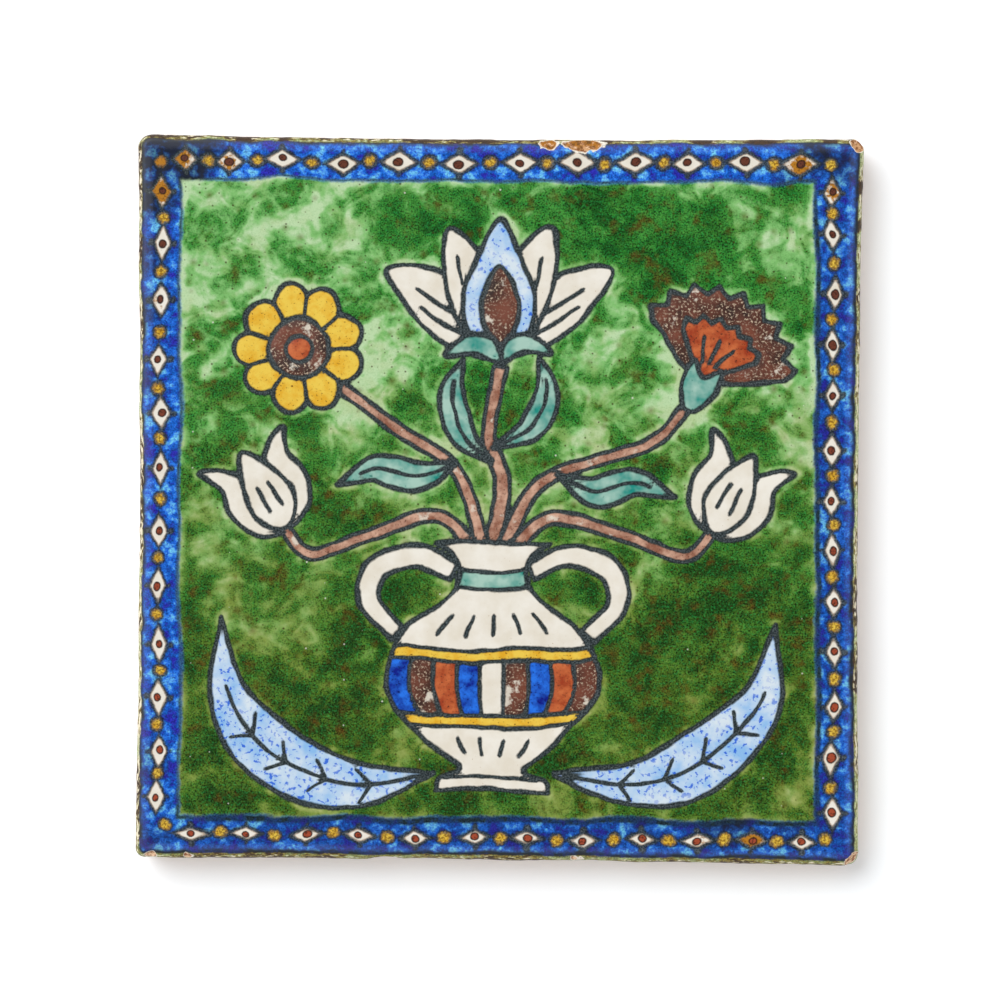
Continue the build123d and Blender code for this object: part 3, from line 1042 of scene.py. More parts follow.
def add(tree, kind, *inputs, out=None, stops=(), **settings):
    """Add one node: its settings by name, its inputs in order as values or links, and a ramp's stops.

    None leaves an input as it is. Gives the output that is named, or else the first.
    """
    made = tree.nodes.new("ShaderNode" + kind)
    for name, value in settings.items():
        setattr(made, name, value)
    if stops:
        ramp = made.color_ramp.elements
        ramp[0].position, ramp[1].position = stops[0][0], stops[-1][0]
        inner = [ramp.new(place) for place, _ in stops[1:-1]]
        for element, (_, shade) in zip([ramp[0], *inner, ramp[len(ramp) - 1]], stops):
            element.color = shade
    for socket, value in zip([socket for socket in made.inputs if socket.enabled], inputs):
        if isinstance(value, bpy.types.NodeSocket):
            tree.links.new(value, socket)
        elif value is not None:
            socket.default_value = value
    if out:
        return made.outputs[out]
    return next((socket for socket in made.outputs if socket.enabled), None)


def per_mm(size):
    """Scale of a pattern on Object coordinates, in metres, whose features are this many millimetres apart."""
    return 1 / (size * MM)


class Unevenness(NamedTuple):
    """How a surface varies: how wide its patches are in millimetres, how many finer sizes they hold, and how
    far a brush stirred them."""

    size: float
    detail: float
    stirred: float = 0.0


class Mottle(NamedTuple):
    """Patches in a surface: the unevenness they follow, and its values where a patch begins and is full."""

    follows: Unevenness
    begin: float
    full: float


class Specks(NamedTuple):
    """Scattered grains: how far apart in millimetres, the largest radius and the soft rim as shares of that,
    the share of places that hold none, how strong they are, and if they lie on the face or all through."""

    apart: float
    radius: float
    rim: float
    empty: float
    strength: float
    spread: str = "2D"


class Firing(NamedTuple):
    """How a glaze fired: where it pooled, its unmelted grains, its roughness, and where it wore to slip."""

    pool: Mottle
    grains: Mottle
    roughness: float
    worn: Mottle = None


# Unevenness that finishes share, from fine grain to clouds of glaze, and how fast its finer sizes fade
FINE = Unevenness(0.36, 2.0)
GRAINY = Unevenness(0.52, 2.0)
FLECKED = Unevenness(0.9, 2.0)
GRITTY = Unevenness(0.8, 3.0)
STIPPLED = Unevenness(1.6, 1.0)
PEELED = Unevenness(2.4, 1.0)
DABBED = Unevenness(2.7, 3.0)
WORN = Unevenness(3.5, 4.0)
POOLED = Unevenness(6.0, 3.0)
BRUSHED = Unevenness(6.5, 2.0, 1.3)
CLOUDED = Unevenness(15.0, 2.0, 0.7)
FINER_FADE = 0.58

FIRINGS = {
    "cream": Firing(Mottle(POOLED, 0.36, 0.66), Mottle(GRAINY, 0.70, 0.76), 0.16),
    "turquoise": Firing(Mottle(POOLED, 0.40, 0.68), Mottle(FLECKED, 0.66, 0.74), 0.16),
    "pale_blue": Firing(Mottle(POOLED, 0.34, 0.66), Mottle(FLECKED, 0.57, 0.63), 0.16),
    "brown": Firing(Mottle(POOLED, 0.36, 0.66), Mottle(GRAINY, 0.54, 0.66), 0.30, Mottle(WORN, 0.60, 0.66)),
    "salmon": Firing(Mottle(DABBED, 0.36, 0.66), Mottle(GRAINY, 0.58, 0.68), 0.25, Mottle(WORN, 0.62, 0.70)),
    "red": Firing(Mottle(DABBED, 0.36, 0.66), Mottle(GRAINY, 0.58, 0.68), 0.25),
    "yellow": Firing(Mottle(DABBED, 0.40, 0.70), Mottle(GRAINY, 0.62, 0.67), 0.18),
    "cobalt": Firing(Mottle(DABBED, 0.36, 0.66), Mottle(GRAINY, 0.58, 0.66), 0.16),
}

# Grains of a glaze: their share where it pooled and where it is thin, and the slip's where it wore
POOL_GRAINS, THIN_GRAINS, POOL_FULL, WORN_SHARE = 0.9, 0.25, 0.6, 0.8

# Fine grain of the fired colours, from dark to light, and its strength in each
GRAIN = Mottle(FINE, 0.32, 0.68)
GROUND_GRAIN, BAND_GRAIN, LINE_GRAIN, ARRIS_GRAIN = 0.7, 0.5, 0.6, 0.6

# Brushed edges, and how soft each is in millimetres and how far it strays
BRUSH = Mottle(FLECKED, 0.30, 0.70)
GLAZE_SOFT, GLAZE_STRAY = 0.14, 0.06
INK_SOFT, INK_STRAY = 0.2, 0.07
BORDER_SOFT, BORDER_STRAY = 0.26, 0.12
RIM_SOFT, RIM_STRAY, RIM_SHARE = 0.3, 0.16, 0.96
BEAD_SOFT, BEAD_STRAY, DOT_STRAY = 0.42, 0.3, 0.05
FIELD_SOFT = 0.55

# The green ground: clouds of thick and thin glaze with how far each pulls, and how far lines hold it off
GROUND_CLOUDS = ((Mottle(CLOUDED, 0.34, 0.66), 0.33), (Mottle(BRUSHED, 0.30, 0.70), 0.25),
                 (Mottle(STIPPLED, 0.30, 0.70), 0.08))
GREENS = ((0.0, "mint"), (0.24, "light_green"), (0.5, "leaf_green"), (0.78, "deep_green"),
          (1.0, "bottle_green"))
OLIVES = ((0.0, "olive_pale"), (0.3, "olive_thin"), (0.6, "olive"), (1.0, "olive_thick"))
OLIVE_FROM, OLIVE_TO, OLIVE_SHARE = 38.0, -42.0, 1.0
OLIVE_DRIFT, OLIVE_PULL = Mottle(POOLED, 0.36, 0.64), 0.24
INK_RESIST, RESIST = 1.6, 0.42
RESIST_PATCHES, RESIST_LEAST = Mottle(POOLED, 0.38, 0.62), 0.1
# White pinholes: partly slip showing through pits, partly a painted highlight for the glints they catch
PINHOLE_GLINTS = Specks(4.0, 0.045, 0.03, 0.88, 0.8)
GRAINY_FROM, GRAINY_TO, GRAINY_LEAST = 0.26, 0.7, 0.1
GROUND_GRAINS = (
    (Mottle(GRAINY, 0.50, 0.66), 0.5, "emerald"),
    (Mottle(FINE, 0.46, 0.30), 0.85, "olive_thick"),
    (Mottle(WORN, 0.55, 0.70), 0.75, "rust"),
)
RUST_SPOTS = Specks(3.2, 0.2, 0.2, 0.55, 0.6)
DARK_SPECKS = Specks(1.4, 0.15, 0.08, 0.5, 0.85)

# The blue band: short dabs, grains, and the dark line between it and the ground
BAND_DABS = Mottle(DABBED, 0.0, 1.0)
BAND_BLUES = ((0.36, "ultramarine"), (0.47, "border_blue"), (0.55, "cobalt_thin"), (0.66, "azure"))
BAND_GRAINS, BAND_GRAIN_SHARE = Mottle(GRAINY, 0.48, 0.32), 0.55
INNER_SOFT = 0.34
INNER_SMUDGE, SMUDGE_LEAST = Mottle(DABBED, 0.32, 0.58), 0.35
BURNT_THIN, BURNT_THICK = 0.72, 1.25
DAB_THIN, DAB_THICK = 0.62, 0.38
DOT_RING = 0.25
FRINGE, FRINGE_SHARE = 0.2, 0.5
BEAD_GRAINS = Mottle(GRAINY, 0.60, 0.42)
AMBER_GRAINS = Mottle(GRAINY, 0.50, 0.36)
AMBER_BLOTCHES, BLOTCH_PULL = Mottle(FLECKED, 0.30, 0.70), 0.3
BLOTCH_FROM, BLOTCH_TO = 0.3, 0.6
DOT_GRAINS = Mottle(GRAINY, 0.50, 0.36)
BORDER_GRAIN_SHARE = 0.78
DOT_RED_BACK, DOT_RED_FRONT = 0.1, 0.9

# Ink, clay and the glaze on the arris
INK_GRAINS = Mottle(FINE, 0.42, 0.64)
INK_HALF = 0.5
INK_NEAR = 0.1
INK_WORN_LEAST, INK_WORN_MOST, INK_WORN_SIDE = 0.1, 0.85, 0.2
CLAY_MOTTLE, CALM_CLAY = Mottle(GRITTY, 0.40, 0.58), 0.66
GROG = Specks(1.3, 0.24, 0.08, 0.55, 0.8, "3D")
DRIFT, DRIFT_PULL = Mottle(POOLED, 0.34, 0.66), 0.35
FLECKS, FLECK_PULL = Mottle(GRAINY, 0.34, 0.66), 0.4
TOAST_FROM, TOAST_TO, TOAST_SHARE = 0.15, 0.45, 0.85
BURNT_FROM, BURNT_TO, BURNT_SHARE = 0.44, 0.74, 0.95
DASH_FROM, DASH_TO = 0.85, 1.1
SLIP_AT, SLIP_HALF, SLIP_STRAY = 1.15, 0.4, 0.3
CALM_FROM, CALM_TO, CALM_SHARE = 0.2, -1.2, 0.25
ARRIS_SOFT, ARRIS_STRAY, LINE_SOFT, LINE_STRAY = 0.24, 0.25, 0.5, 0.4
LINE_BREAKS, LINE_LEAST = Mottle(DABBED, 0.36, 0.52), 0.5
ARRIS_ROUGH, DULL_FROM, DULL_TO = 0.5, 4.4, 3.0
GLAZE_RUN, RUN_STRAY, RUN_SOFT = 3.2, 2.6, 0.4
FLAKE_RIM_FROM, FLAKE_RIM_TO, FLAKE_SOFT = 0.08, 0.24, 0.07
AMBER_MOTTLE, AMBER_LEAST = Mottle(FLECKED, 0.36, 0.48), 0.2
AMBER_BURNT, AMBER_BURNT_SHARE = Mottle(GRITTY, 0.52, 0.40), 0.8

# Gloss: the soft peel of the fired glaze, and the grit of bare clay
PEEL, BRUSH_RELIEF = Mottle(PEELED, 0.0, 1.0), 0.2
GRIT = Mottle(GRITTY, 0.0, 1.0)
GLOSS_LOW, GLOSS_HIGH, CLAY_ROUGH = 0.12, 0.2, 0.85
GRIT_DEPTH, BUMP_DEPTH, BACK_DEPTH, BUMP_STRENGTH = 4.0, 0.03, 0.12, 0.5


def mottle(tree, place, pattern, low=0.0, high=1.0):
    """A soft uneven pattern, from low outside its patches to high where they are full."""
    size, detail, stirred = pattern.follows
    value = add(tree, "TexNoise", place, per_mm(size), detail, FINER_FADE, None, stirred)
    return add(tree, "MapRange", value, pattern.begin, pattern.full, low, high)


def add_specks(tree, place, ground, speck, pattern):
    """Scatter grains: the middle of a cell of a Voronoi pattern, larger in some cells than in others."""
    away = add(tree, "TexVoronoi", place, per_mm(pattern.apart), voronoi_dimensions=pattern.spread)
    size = add(tree, "SeparateXYZ", away.node.outputs["Color"])
    size = add(tree, "MapRange", size, pattern.empty, 1.0, -pattern.rim, pattern.radius)
    inside = add(tree, "Math", size, away, operation="SUBTRACT")
    cover = add(tree, "MapRange", inside, -pattern.rim, pattern.rim, 0.0, pattern.strength)
    return add(tree, "Mix", cover, ground, speck, data_type="RGBA")


def grained(tree, place, shade, strength):
    """Darken and lighten a colour by fine grain."""
    grain = mottle(tree, place, GRAIN)
    return add(tree, "Mix", strength, shade, grain, data_type="RGBA", blend_type="OVERLAY")


def laid_over(tree, under, over, distance, soft, ragged=None, stray=0.0, share=None):
    """Lay one colour, or a share of it, over another where the distance is negative, with an edge that is
    soft by some millimetres and strays in and out by an uneven pattern. Gives the colour, and the share
    that is covered."""
    if ragged is not None:
        shift = add(tree, "MapRange", ragged, 0.0, 1.0, -stray, stray)
        distance = add(tree, "Math", distance, shift, operation="ADD")
    cover = add(tree, "MapRange", distance, soft, -soft, 0.0, 1.0, interpolation_type="SMOOTHSTEP")
    if share is not None:
        cover = add(tree, "Math", cover, share, operation="MULTIPLY")
    return add(tree, "Mix", cover, under, over, data_type="RGBA"), cover


def ramp_of(glazes, stops):
    """A ramp's stops, from places and the names of glaze colours."""
    return [(at, tuple(getattr(glazes, name))) for at, name in stops]


def fired_glaze(tree, place, glazes, name):
    """One painted glaze: from its thin to its pooled colour in soft patches, with unmelted grains where it
    pooled, and the slip where it wore."""
    firing = FIRINGS[name]
    pooled = mottle(tree, place, firing.pool)
    thin, thick, speck = (tuple(getattr(glazes, f"{name}_{kind}")) for kind in ("thin", "thick", "speck"))
    shade = add(tree, "Mix", pooled, thin, thick, data_type="RGBA")
    grains = mottle(tree, place, firing.grains, 0.0, POOL_GRAINS)
    held = add(tree, "MapRange", pooled, 0.0, POOL_FULL, THIN_GRAINS, 1.0)
    grains = add(tree, "Math", grains, held, operation="MULTIPLY")
    shade = add(tree, "Mix", grains, shade, speck, data_type="RGBA")
    if firing.worn:
        worn = mottle(tree, place, firing.worn, 0.0, WORN_SHARE)
        shade = add(tree, "Mix", worn, shade, tuple(glazes.cream_thick), data_type="RGBA")
    return shade


def green_ground(tree, place, glazes, known):
    """Copper green over white slip: dabbed on in clouds, pale where lines held it off, and turned to olive by
    iron towards the front. Where it is deep it is grainy, with emerald and dark grains, rust and specks, and
    white pinholes that are partly the slip showing through and partly a painted highlight for their glints."""
    thick = known["thick"]
    for pattern, pull in GROUND_CLOUDS:
        thick = add(tree, "Math", thick, mottle(tree, place, pattern, -pull, pull), operation="ADD")
    by_ink = add(tree, "MapRange", known["ink"], 0.0, INK_RESIST, -RESIST, 0.0,
                 interpolation_type="SMOOTHERSTEP")
    in_places = mottle(tree, place, RESIST_PATCHES, RESIST_LEAST, 1.0)
    held_off = add(tree, "Math", by_ink, in_places, operation="MULTIPLY")
    thick = add(tree, "Math", thick, held_off, operation="ADD")
    green = add(tree, "ValToRGB", thick, stops=ramp_of(glazes, GREENS))
    olive = add(tree, "ValToRGB", thick, stops=ramp_of(glazes, OLIVES))
    turned = add(tree, "MapRange", add(tree, "SeparateXYZ", place, out="Y"), OLIVE_FROM * MM, OLIVE_TO * MM,
                 0.0, OLIVE_SHARE)
    drift = mottle(tree, place, OLIVE_DRIFT, -OLIVE_PULL, OLIVE_PULL)
    turned = add(tree, "Math", turned, drift, operation="ADD")
    ground = add(tree, "Mix", turned, green, olive, data_type="RGBA")
    grainy = add(tree, "MapRange", thick, GRAINY_FROM, GRAINY_TO, GRAINY_LEAST, 1.0)
    for pattern, share, name in GROUND_GRAINS:
        share = add(tree, "Math", mottle(tree, place, pattern, 0.0, share), grainy, operation="MULTIPLY")
        ground = add(tree, "Mix", share, ground, tuple(getattr(glazes, name)), data_type="RGBA")
    ground = add(tree, "Mix", grainy, ground, grained(tree, place, ground, GROUND_GRAIN), data_type="RGBA")
    ground = add_specks(tree, place, ground, tuple(glazes.rust), RUST_SPOTS)
    ground = add_specks(tree, place, ground, tuple(glazes.edge_brown), DARK_SPECKS)
    # Painted highlight: white pinhole specks that stand for glints as well as for the slip
    return add_specks(tree, place, ground, tuple(glazes.cream_thin), PINHOLE_GLINTS)


def blue_band(tree, place, glazes, smoke):
    """Cobalt blue in short dabs of the brush: azure where it ran thin, ultramarine where dabs overlap, and
    burnt nearly black at the corners."""
    dab = mottle(tree, place, BAND_DABS)
    blue = add(tree, "ValToRGB", dab, stops=ramp_of(glazes, BAND_BLUES))
    grains = mottle(tree, place, BAND_GRAINS, 0.0, BAND_GRAIN_SHARE)
    blue = add(tree, "Mix", grains, blue, tuple(glazes.cobalt_thick), data_type="RGBA")
    blue = grained(tree, place, blue, BAND_GRAIN)
    by_dab = add(tree, "MapRange", dab, DAB_THICK, DAB_THIN, BURNT_THICK, BURNT_THIN)
    burnt = add(tree, "Math", smoke, by_dab, operation="MULTIPLY")
    return add(tree, "Mix", burnt, blue, tuple(glazes.navy), data_type="RGBA")


def ink_line(tree, place, glazes, distance):
    """Manganese ink: grainy, and paler along the middle of a stroke than at its pooled sides."""
    grains = mottle(tree, place, INK_GRAINS, INK_WORN_LEAST, INK_WORN_MOST)
    middle = add(tree, "MapRange", distance, 0.0, -INK_HALF, INK_WORN_SIDE, 1.0)
    worn = add(tree, "Math", grains, middle, operation="MULTIPLY")
    return add(tree, "Mix", worn, tuple(glazes.ink), tuple(glazes.ink_worn), data_type="RGBA")


def painted_field(tree, place, glazes, known, brush):
    """The field: the green ground, the painted shapes over it, and their ink. Gives its colour and roughness.

    A stroke is told by how far a point lies across it, so that it stays whole where it is thin.
    """
    shade = green_ground(tree, place, glazes, known)
    rough = add(tree, "MapRange", brush, 0.0, 1.0, GLOSS_LOW, GLOSS_HIGH)
    for name in FILLS:
        shade, cover = laid_over(tree, shade, fired_glaze(tree, place, glazes, name), known[name], GLAZE_SOFT,
                                 brush, GLAZE_STRAY)
        rough = add(tree, "Mix", cover, rough, FIRINGS[name].roughness)
    across = add(tree, "Math", known["stroke"], operation="ABSOLUTE")
    across = add(tree, "Math", across, INK_HALF, -INK_HALF, operation="MULTIPLY_ADD")
    near = add(tree, "Math", known["ink"], INK_NEAR, operation="SUBTRACT")
    distance = add(tree, "Math", across, near, operation="MAXIMUM")
    ink = ink_line(tree, place, glazes, distance)
    shade, _ = laid_over(tree, shade, ink, distance, INK_SOFT, brush, INK_STRAY)
    return shade, rough


def painted_border(tree, place, glazes, known, brush, ground):
    """The border over the ground: the blue band and its inner line, the dark rims and dabs, white lozenges
    and yellow beads in them, and the dots in the lozenges. Iron stained some of them amber."""
    beyond = add(tree, "Math", known["field"], -1.0, operation="MULTIPLY")
    shade, _ = laid_over(tree, ground, blue_band(tree, place, glazes, known["smoke"]), beyond, FIELD_SOFT,
                         brush, BORDER_STRAY)
    darkened = add(tree, "Math", known["smoke"], known["dark"], operation="MAXIMUM")
    slate = add(tree, "Mix", darkened, tuple(glazes.inner_line), tuple(glazes.edge_dark), data_type="RGBA")
    half = add(tree, "Math", known["inner"], 0.5, operation="MULTIPLY")
    line = add(tree, "Math", known["field"], half, operation="SUBTRACT")
    line = add(tree, "Math", line, operation="ABSOLUTE")
    line = add(tree, "Math", line, half, operation="SUBTRACT")
    slate = grained(tree, place, slate, LINE_GRAIN)
    smudge = mottle(tree, place, INNER_SMUDGE, SMUDGE_LEAST, 1.0)
    shade, _ = laid_over(tree, shade, slate, line, INNER_SOFT, brush, BORDER_STRAY, smudge)
    shade, _ = laid_over(tree, shade, ink_line(tree, place, glazes, known["rim"]), known["rim"], RIM_SOFT,
                         brush, RIM_STRAY, RIM_SHARE)
    amber = add(tree, "Mix", mottle(tree, place, AMBER_GRAINS, 0.0, BORDER_GRAIN_SHARE), tuple(glazes.amber),
                tuple(glazes.yellow_speck), data_type="RGBA")
    yellow = add(tree, "Mix", mottle(tree, place, BEAD_GRAINS, 0.0, BORDER_GRAIN_SHARE),
                 fired_glaze(tree, place, glazes, "yellow"), tuple(glazes.yellow_speck), data_type="RGBA")
    cream = fired_glaze(tree, place, glazes, "cream")
    blotches = mottle(tree, place, AMBER_BLOTCHES, -BLOTCH_PULL, BLOTCH_PULL)
    blotched = add(tree, "Math", known["amber"], blotches, operation="ADD")
    blotched = add(tree, "MapRange", blotched, BLOTCH_FROM, BLOTCH_TO)
    for layer, filling, soft, stray in (("bead", yellow, BEAD_SOFT, BEAD_STRAY),
                                        ("lozenge", cream, BORDER_SOFT, BORDER_STRAY)):
        fringe = add(tree, "MapRange", known[layer], -FRINGE, 0.0, 0.0, FRINGE_SHARE)
        stain = add(tree, "Math", blotched, fringe, operation="MAXIMUM")
        filling = add(tree, "Mix", stain, filling, amber, data_type="RGBA")
        shade, _ = laid_over(tree, shade, filling, known[layer], soft, brush, stray)
    redder = add(tree, "MapRange", add(tree, "SeparateXYZ", place, out="Y"), OLIVE_FROM * MM, OLIVE_TO * MM,
                 DOT_RED_BACK, DOT_RED_FRONT)
    dot = add(tree, "Mix", redder, tuple(glazes.dot), tuple(glazes.dot_red), data_type="RGBA")
    grains = mottle(tree, place, DOT_GRAINS, 0.0, BORDER_GRAIN_SHARE)
    dot = add(tree, "Mix", grains, dot, tuple(glazes.brown_thick), data_type="RGBA")
    shade, _ = laid_over(tree, shade, tuple(glazes.brown_thick), known["dot"], GLAZE_SOFT, brush, DOT_STRAY)
    inner = add(tree, "Math", known["dot"], DOT_RING, operation="ADD")
    shade, _ = laid_over(tree, shade, dot, inner, GLAZE_SOFT, brush, DOT_STRAY)
    return shade


def buff_clay(tree, place, glazes, calm=CALM_CLAY):
    """Pressed buff earthenware: mottled, less where the mould smoothed it, with dark grains of grog."""
    pale = mottle(tree, place, CLAY_MOTTLE, calm, 1.0)
    body = add(tree, "Mix", pale, tuple(glazes.clay_dark), tuple(glazes.clay), data_type="RGBA")
    return add_specks(tree, place, body, tuple(glazes.edge_brown), GROG)


def worn_edge(tree, place, glazes, known, ground):
    """Glaze over the arris: a dark line inside it, olive or pale green over the round, toasted to gold and
    burnt to brown in flecks, slip that shows in dashes along the outside, and runs down the side on to bare
    clay. Gives the colour, and the share that is clay."""
    edge = known["edge"]
    drift = mottle(tree, place, DRIFT)
    flecks = mottle(tree, add(tree, "Attribute", attribute_name="streak", out="Vector"), FLECKS)
    pull = add(tree, "MapRange", flecks, 0.0, 1.0, -FLECK_PULL, FLECK_PULL)
    calm = add(tree, "MapRange", edge, CALM_FROM, CALM_TO, 1.0, CALM_SHARE)
    pull = add(tree, "Math", pull, calm, operation="MULTIPLY")
    uneven = add(tree, "MapRange", drift, 0.0, 1.0, -DRIFT_PULL, DRIFT_PULL)
    uneven = add(tree, "Math", uneven, pull, operation="ADD")
    thinned = add(tree, "Math", known["thinned"], uneven, operation="ADD")
    strip = add(tree, "Mix", thinned, tuple(glazes.edge_olive), tuple(glazes.edge_mint), data_type="RGBA")
    burnt = add(tree, "Math", known["burnt"], uneven, operation="SUBTRACT")
    toasted = add(tree, "MapRange", burnt, TOAST_FROM, TOAST_TO, 0.0, TOAST_SHARE)
    strip = add(tree, "Mix", toasted, strip, tuple(glazes.edge_gold), data_type="RGBA")
    burnt = add(tree, "MapRange", burnt, BURNT_FROM, BURNT_TO, 0.0, BURNT_SHARE)
    strip = add(tree, "Mix", burnt, strip, tuple(glazes.edge_brown), data_type="RGBA")
    strip = grained(tree, place, strip, ARRIS_GRAIN)
    dashes = add(tree, "Math", flecks, known["slip"], operation="ADD")
    dashes = add(tree, "MapRange", dashes, DASH_FROM, DASH_TO)
    from_slip = add(tree, "Math", edge, SLIP_AT, operation="SUBTRACT")
    from_slip = add(tree, "Math", from_slip, operation="ABSOLUTE")
    from_slip = add(tree, "Math", from_slip, SLIP_HALF, operation="SUBTRACT")
    slip, dark = tuple(glazes.edge_slip), tuple(glazes.edge_dark)
    strip, _ = laid_over(tree, strip, slip, from_slip, ARRIS_SOFT, drift, SLIP_STRAY, dashes)
    breaks = mottle(tree, place, LINE_BREAKS, LINE_LEAST, 1.0)
    ground, _ = laid_over(tree, ground, dark, known["line"], LINE_SOFT, drift, LINE_STRAY, breaks)
    ground, _ = laid_over(tree, ground, strip, known["strip"], ARRIS_SOFT, drift, ARRIS_STRAY)
    run_down = add(tree, "Math", edge, GLAZE_RUN, operation="ADD")
    return laid_over(tree, ground, buff_clay(tree, place, glazes), run_down, RUN_SOFT, drift, RUN_STRAY)


def broken_clay(tree, place, glazes, known):
    """Fresh break in the clay: a pale rim of slip, and buff inside it, stained amber by iron in places."""
    in_places = mottle(tree, place, AMBER_MOTTLE, AMBER_LEAST, 1.0)
    stain = add(tree, "Math", known["amber"], in_places, operation="MULTIPLY")
    burnt = mottle(tree, place, AMBER_BURNT, 0.0, AMBER_BURNT_SHARE)
    amber = add(tree, "Mix", burnt, tuple(glazes.amber_deep), tuple(glazes.rust), data_type="RGBA")
    clay = add(tree, "Mix", stain, buff_clay(tree, place, glazes, 0.0), amber, data_type="RGBA")
    inside = add(tree, "MapRange", known["bare"], -FLAKE_RIM_FROM, -FLAKE_RIM_TO, 0.0, 1.0)
    return add(tree, "Mix", inside, tuple(glazes.clay_pale), clay, data_type="RGBA")


def painted_glaze(glazes):
    """Earthenware painted over white slip and fired under a clear lead glaze.

    The eye gets wet-looking colour that pools and thins, a soft gloss with tiny pits, and dull dry clay
    where the glaze is chipped or runs out.
    """
    material = bpy.data.materials.new("hand_painted_lead_glaze_fired")
    material.use_nodes = True
    tree = material.node_tree
    tree.nodes.clear()
    place = add(tree, "TexCoord", out="Object")
    known = {name: add(tree, "Attribute", attribute_name=name, out="Fac") for name in PAINTED}
    brush = mottle(tree, place, BRUSH)
    shade, rough = painted_field(tree, place, glazes, known, brush)
    shade = painted_border(tree, place, glazes, known, brush, shade)
    shade, clay = worn_edge(tree, place, glazes, known, shade)
    broken = broken_clay(tree, place, glazes, known)
    shade, chipped = laid_over(tree, shade, broken, known["bare"], FLAKE_SOFT, brush, BORDER_STRAY)
    dulled = add(tree, "MapRange", known["edge"], DULL_FROM, DULL_TO)
    rough = add(tree, "Mix", dulled, rough, ARRIS_ROUGH)
    dry = add(tree, "Math", clay, chipped, operation="MAXIMUM")
    rough = add(tree, "Mix", dry, rough, CLAY_ROUGH)
    height = add(tree, "Math", brush, BRUSH_RELIEF, mottle(tree, place, PEEL), operation="MULTIPLY_ADD")
    height = add(tree, "Mix", dry, height, mottle(tree, place, GRIT, 0.0, GRIT_DEPTH))
    normal = add(tree, "Bump", BUMP_STRENGTH, BUMP_DEPTH * MM, None, height)
    shader = tree.nodes.new("ShaderNodeBsdfPrincipled")
    for socket, value in (("Base Color", shade), ("Roughness", rough), ("Normal", normal)):
        tree.links.new(value, shader.inputs[socket])
    add(tree, "OutputMaterial", shader.outputs[0])
    return material


def bare_back(glazes):
    """Unglazed back of a pressed earthenware tile: dry, pale and mottled, with grains of grog."""
    material = bpy.data.materials.new("pressed_buff_earthenware")
    material.use_nodes = True
    tree = material.node_tree
    tree.nodes.clear()
    place = add(tree, "TexCoord", out="Object")
    shader = tree.nodes.new("ShaderNodeBsdfPrincipled")
    shader.inputs["Roughness"].default_value = CLAY_ROUGH
    normal = add(tree, "Bump", BUMP_STRENGTH, BACK_DEPTH * MM, None, mottle(tree, place, GRIT))
    for socket, value in (("Base Color", buff_clay(tree, place, glazes)), ("Normal", normal)):
        tree.links.new(value, shader.inputs[socket])
    add(tree, "OutputMaterial", shader.outputs[0])
    return material


class TILE_OT_glazed_tile(bpy.types.Operator):
    """Make the tile: the pressed slab with its chips, painted and glazed"""

    bl_idname = "tile.glazed_tile"
    bl_label = "Glazed tile"
    bl_options = {"REGISTER", "UNDO"}

    def execute(self, context):
        sizes, glazes = context.scene.tile_slab, context.scene.tile_glazes
        slab = Slab(sizes)
        plan = slab.points[:, :2].copy()
        hand = by_hand(plan)
        canvas = Canvas(hand)
        paint_field(canvas)
        paint_vase(canvas)
        canvas.stroke /= 1 + PRESSURE * ripple(*plan.T, PRESSURE_RUN, PRESSURE_SEED)
        paint_border(canvas)
        slab.weather(sizes)
        slab.press(DENTS)
        outer = 1 - ease(slab.edge, OUTER_FROM, OUTER_TO)
        strip = slab.edge - by_side(hand, SIDE_STRIP)
        scorched = stained(hand, BURNT_STAINS)
        painted = {
            **canvas.layers,
            "stroke": canvas.stroke,
            "edge": slab.edge,
            "strip": strip,
            "line": strip - by_side(hand, SIDE_LINE),
            "inner": by_side(hand, SIDE_INNER, IN_BAND),
            "dark": by_side(hand, SIDE_DARK, IN_BAND),
            "bare": slab.bite(BITES, sizes.arris_radius / MM),
            "thick": ground_thickness(hand, canvas.layers["field"]),
            "amber": stained(hand, AMBER_STAINS),
            "smoke": np.maximum(stained(hand, SMOKE_STAINS), by_side(hand, SIDE_SMOKE, IN_BAND)),
            "thinned": by_side(hand, SIDE_THINNED),
            "slip": by_side(hand, SIDE_SLIP) - SLIP_LOST * scorched,
            "burnt": scorched + by_side(hand, SIDE_BURNT) + outer * by_side(hand, OUTER_BURNT),
        }
        filled = np.min([canvas.layers[name] for name in FILLS], axis=0)
        domed = ease(-filled, DOME_FROM, DOME_TO) - ease(-canvas.layers["ink"], GROOVE_FROM, GROOVE_TO)
        on_face = ease(slab.edge, FLAT_FROM, FLAT_TO)
        on_face *= ease(slab.points[:, 2], THICKNESS - SUNK_FROM, THICKNESS - SUNK_TO)
        slab.points[:, 2] += sizes.glaze_relief / MM / 2 * (domed - 1) * on_face

        mesh = bpy.data.meshes.new("painted_tile")
        mesh.from_pydata((slab.points * MM + [0, 0, LOW.z]).tolist(), [], slab.faces)
        mesh.uv_layers.new(name="OFBake").data.foreach_set("uv", slab.map.ravel())
        for name in PAINTED:
            layer = mesh.attributes.new(name, "FLOAT", "POINT")
            layer.data.foreach_set("value", np.clip(painted[name], DEEP, FAR))
        streaks = mesh.attributes.new("streak", "FLOAT_VECTOR", "POINT")
        streaks.data.foreach_set("vector", edge_streaks(hand, slab.edge).ravel())
        mesh.materials.append(painted_glaze(glazes))
        mesh.materials.append(bare_back(glazes))
        slots = np.zeros(len(slab.faces), int)
        slots[slab.glazed_faces:] = 1
        mesh.polygons.foreach_set("material_index", slots)
        mesh.shade_smooth()
        mesh.set_sharp_from_angle(angle=SHARP_ANGLE)
        mesh.update()
        tile = bpy.data.objects.new("painted_tile", mesh)
        context.scene.collection.objects.link(tile)
        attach(tile, "root")
        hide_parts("tile")
        return {"FINISHED"}


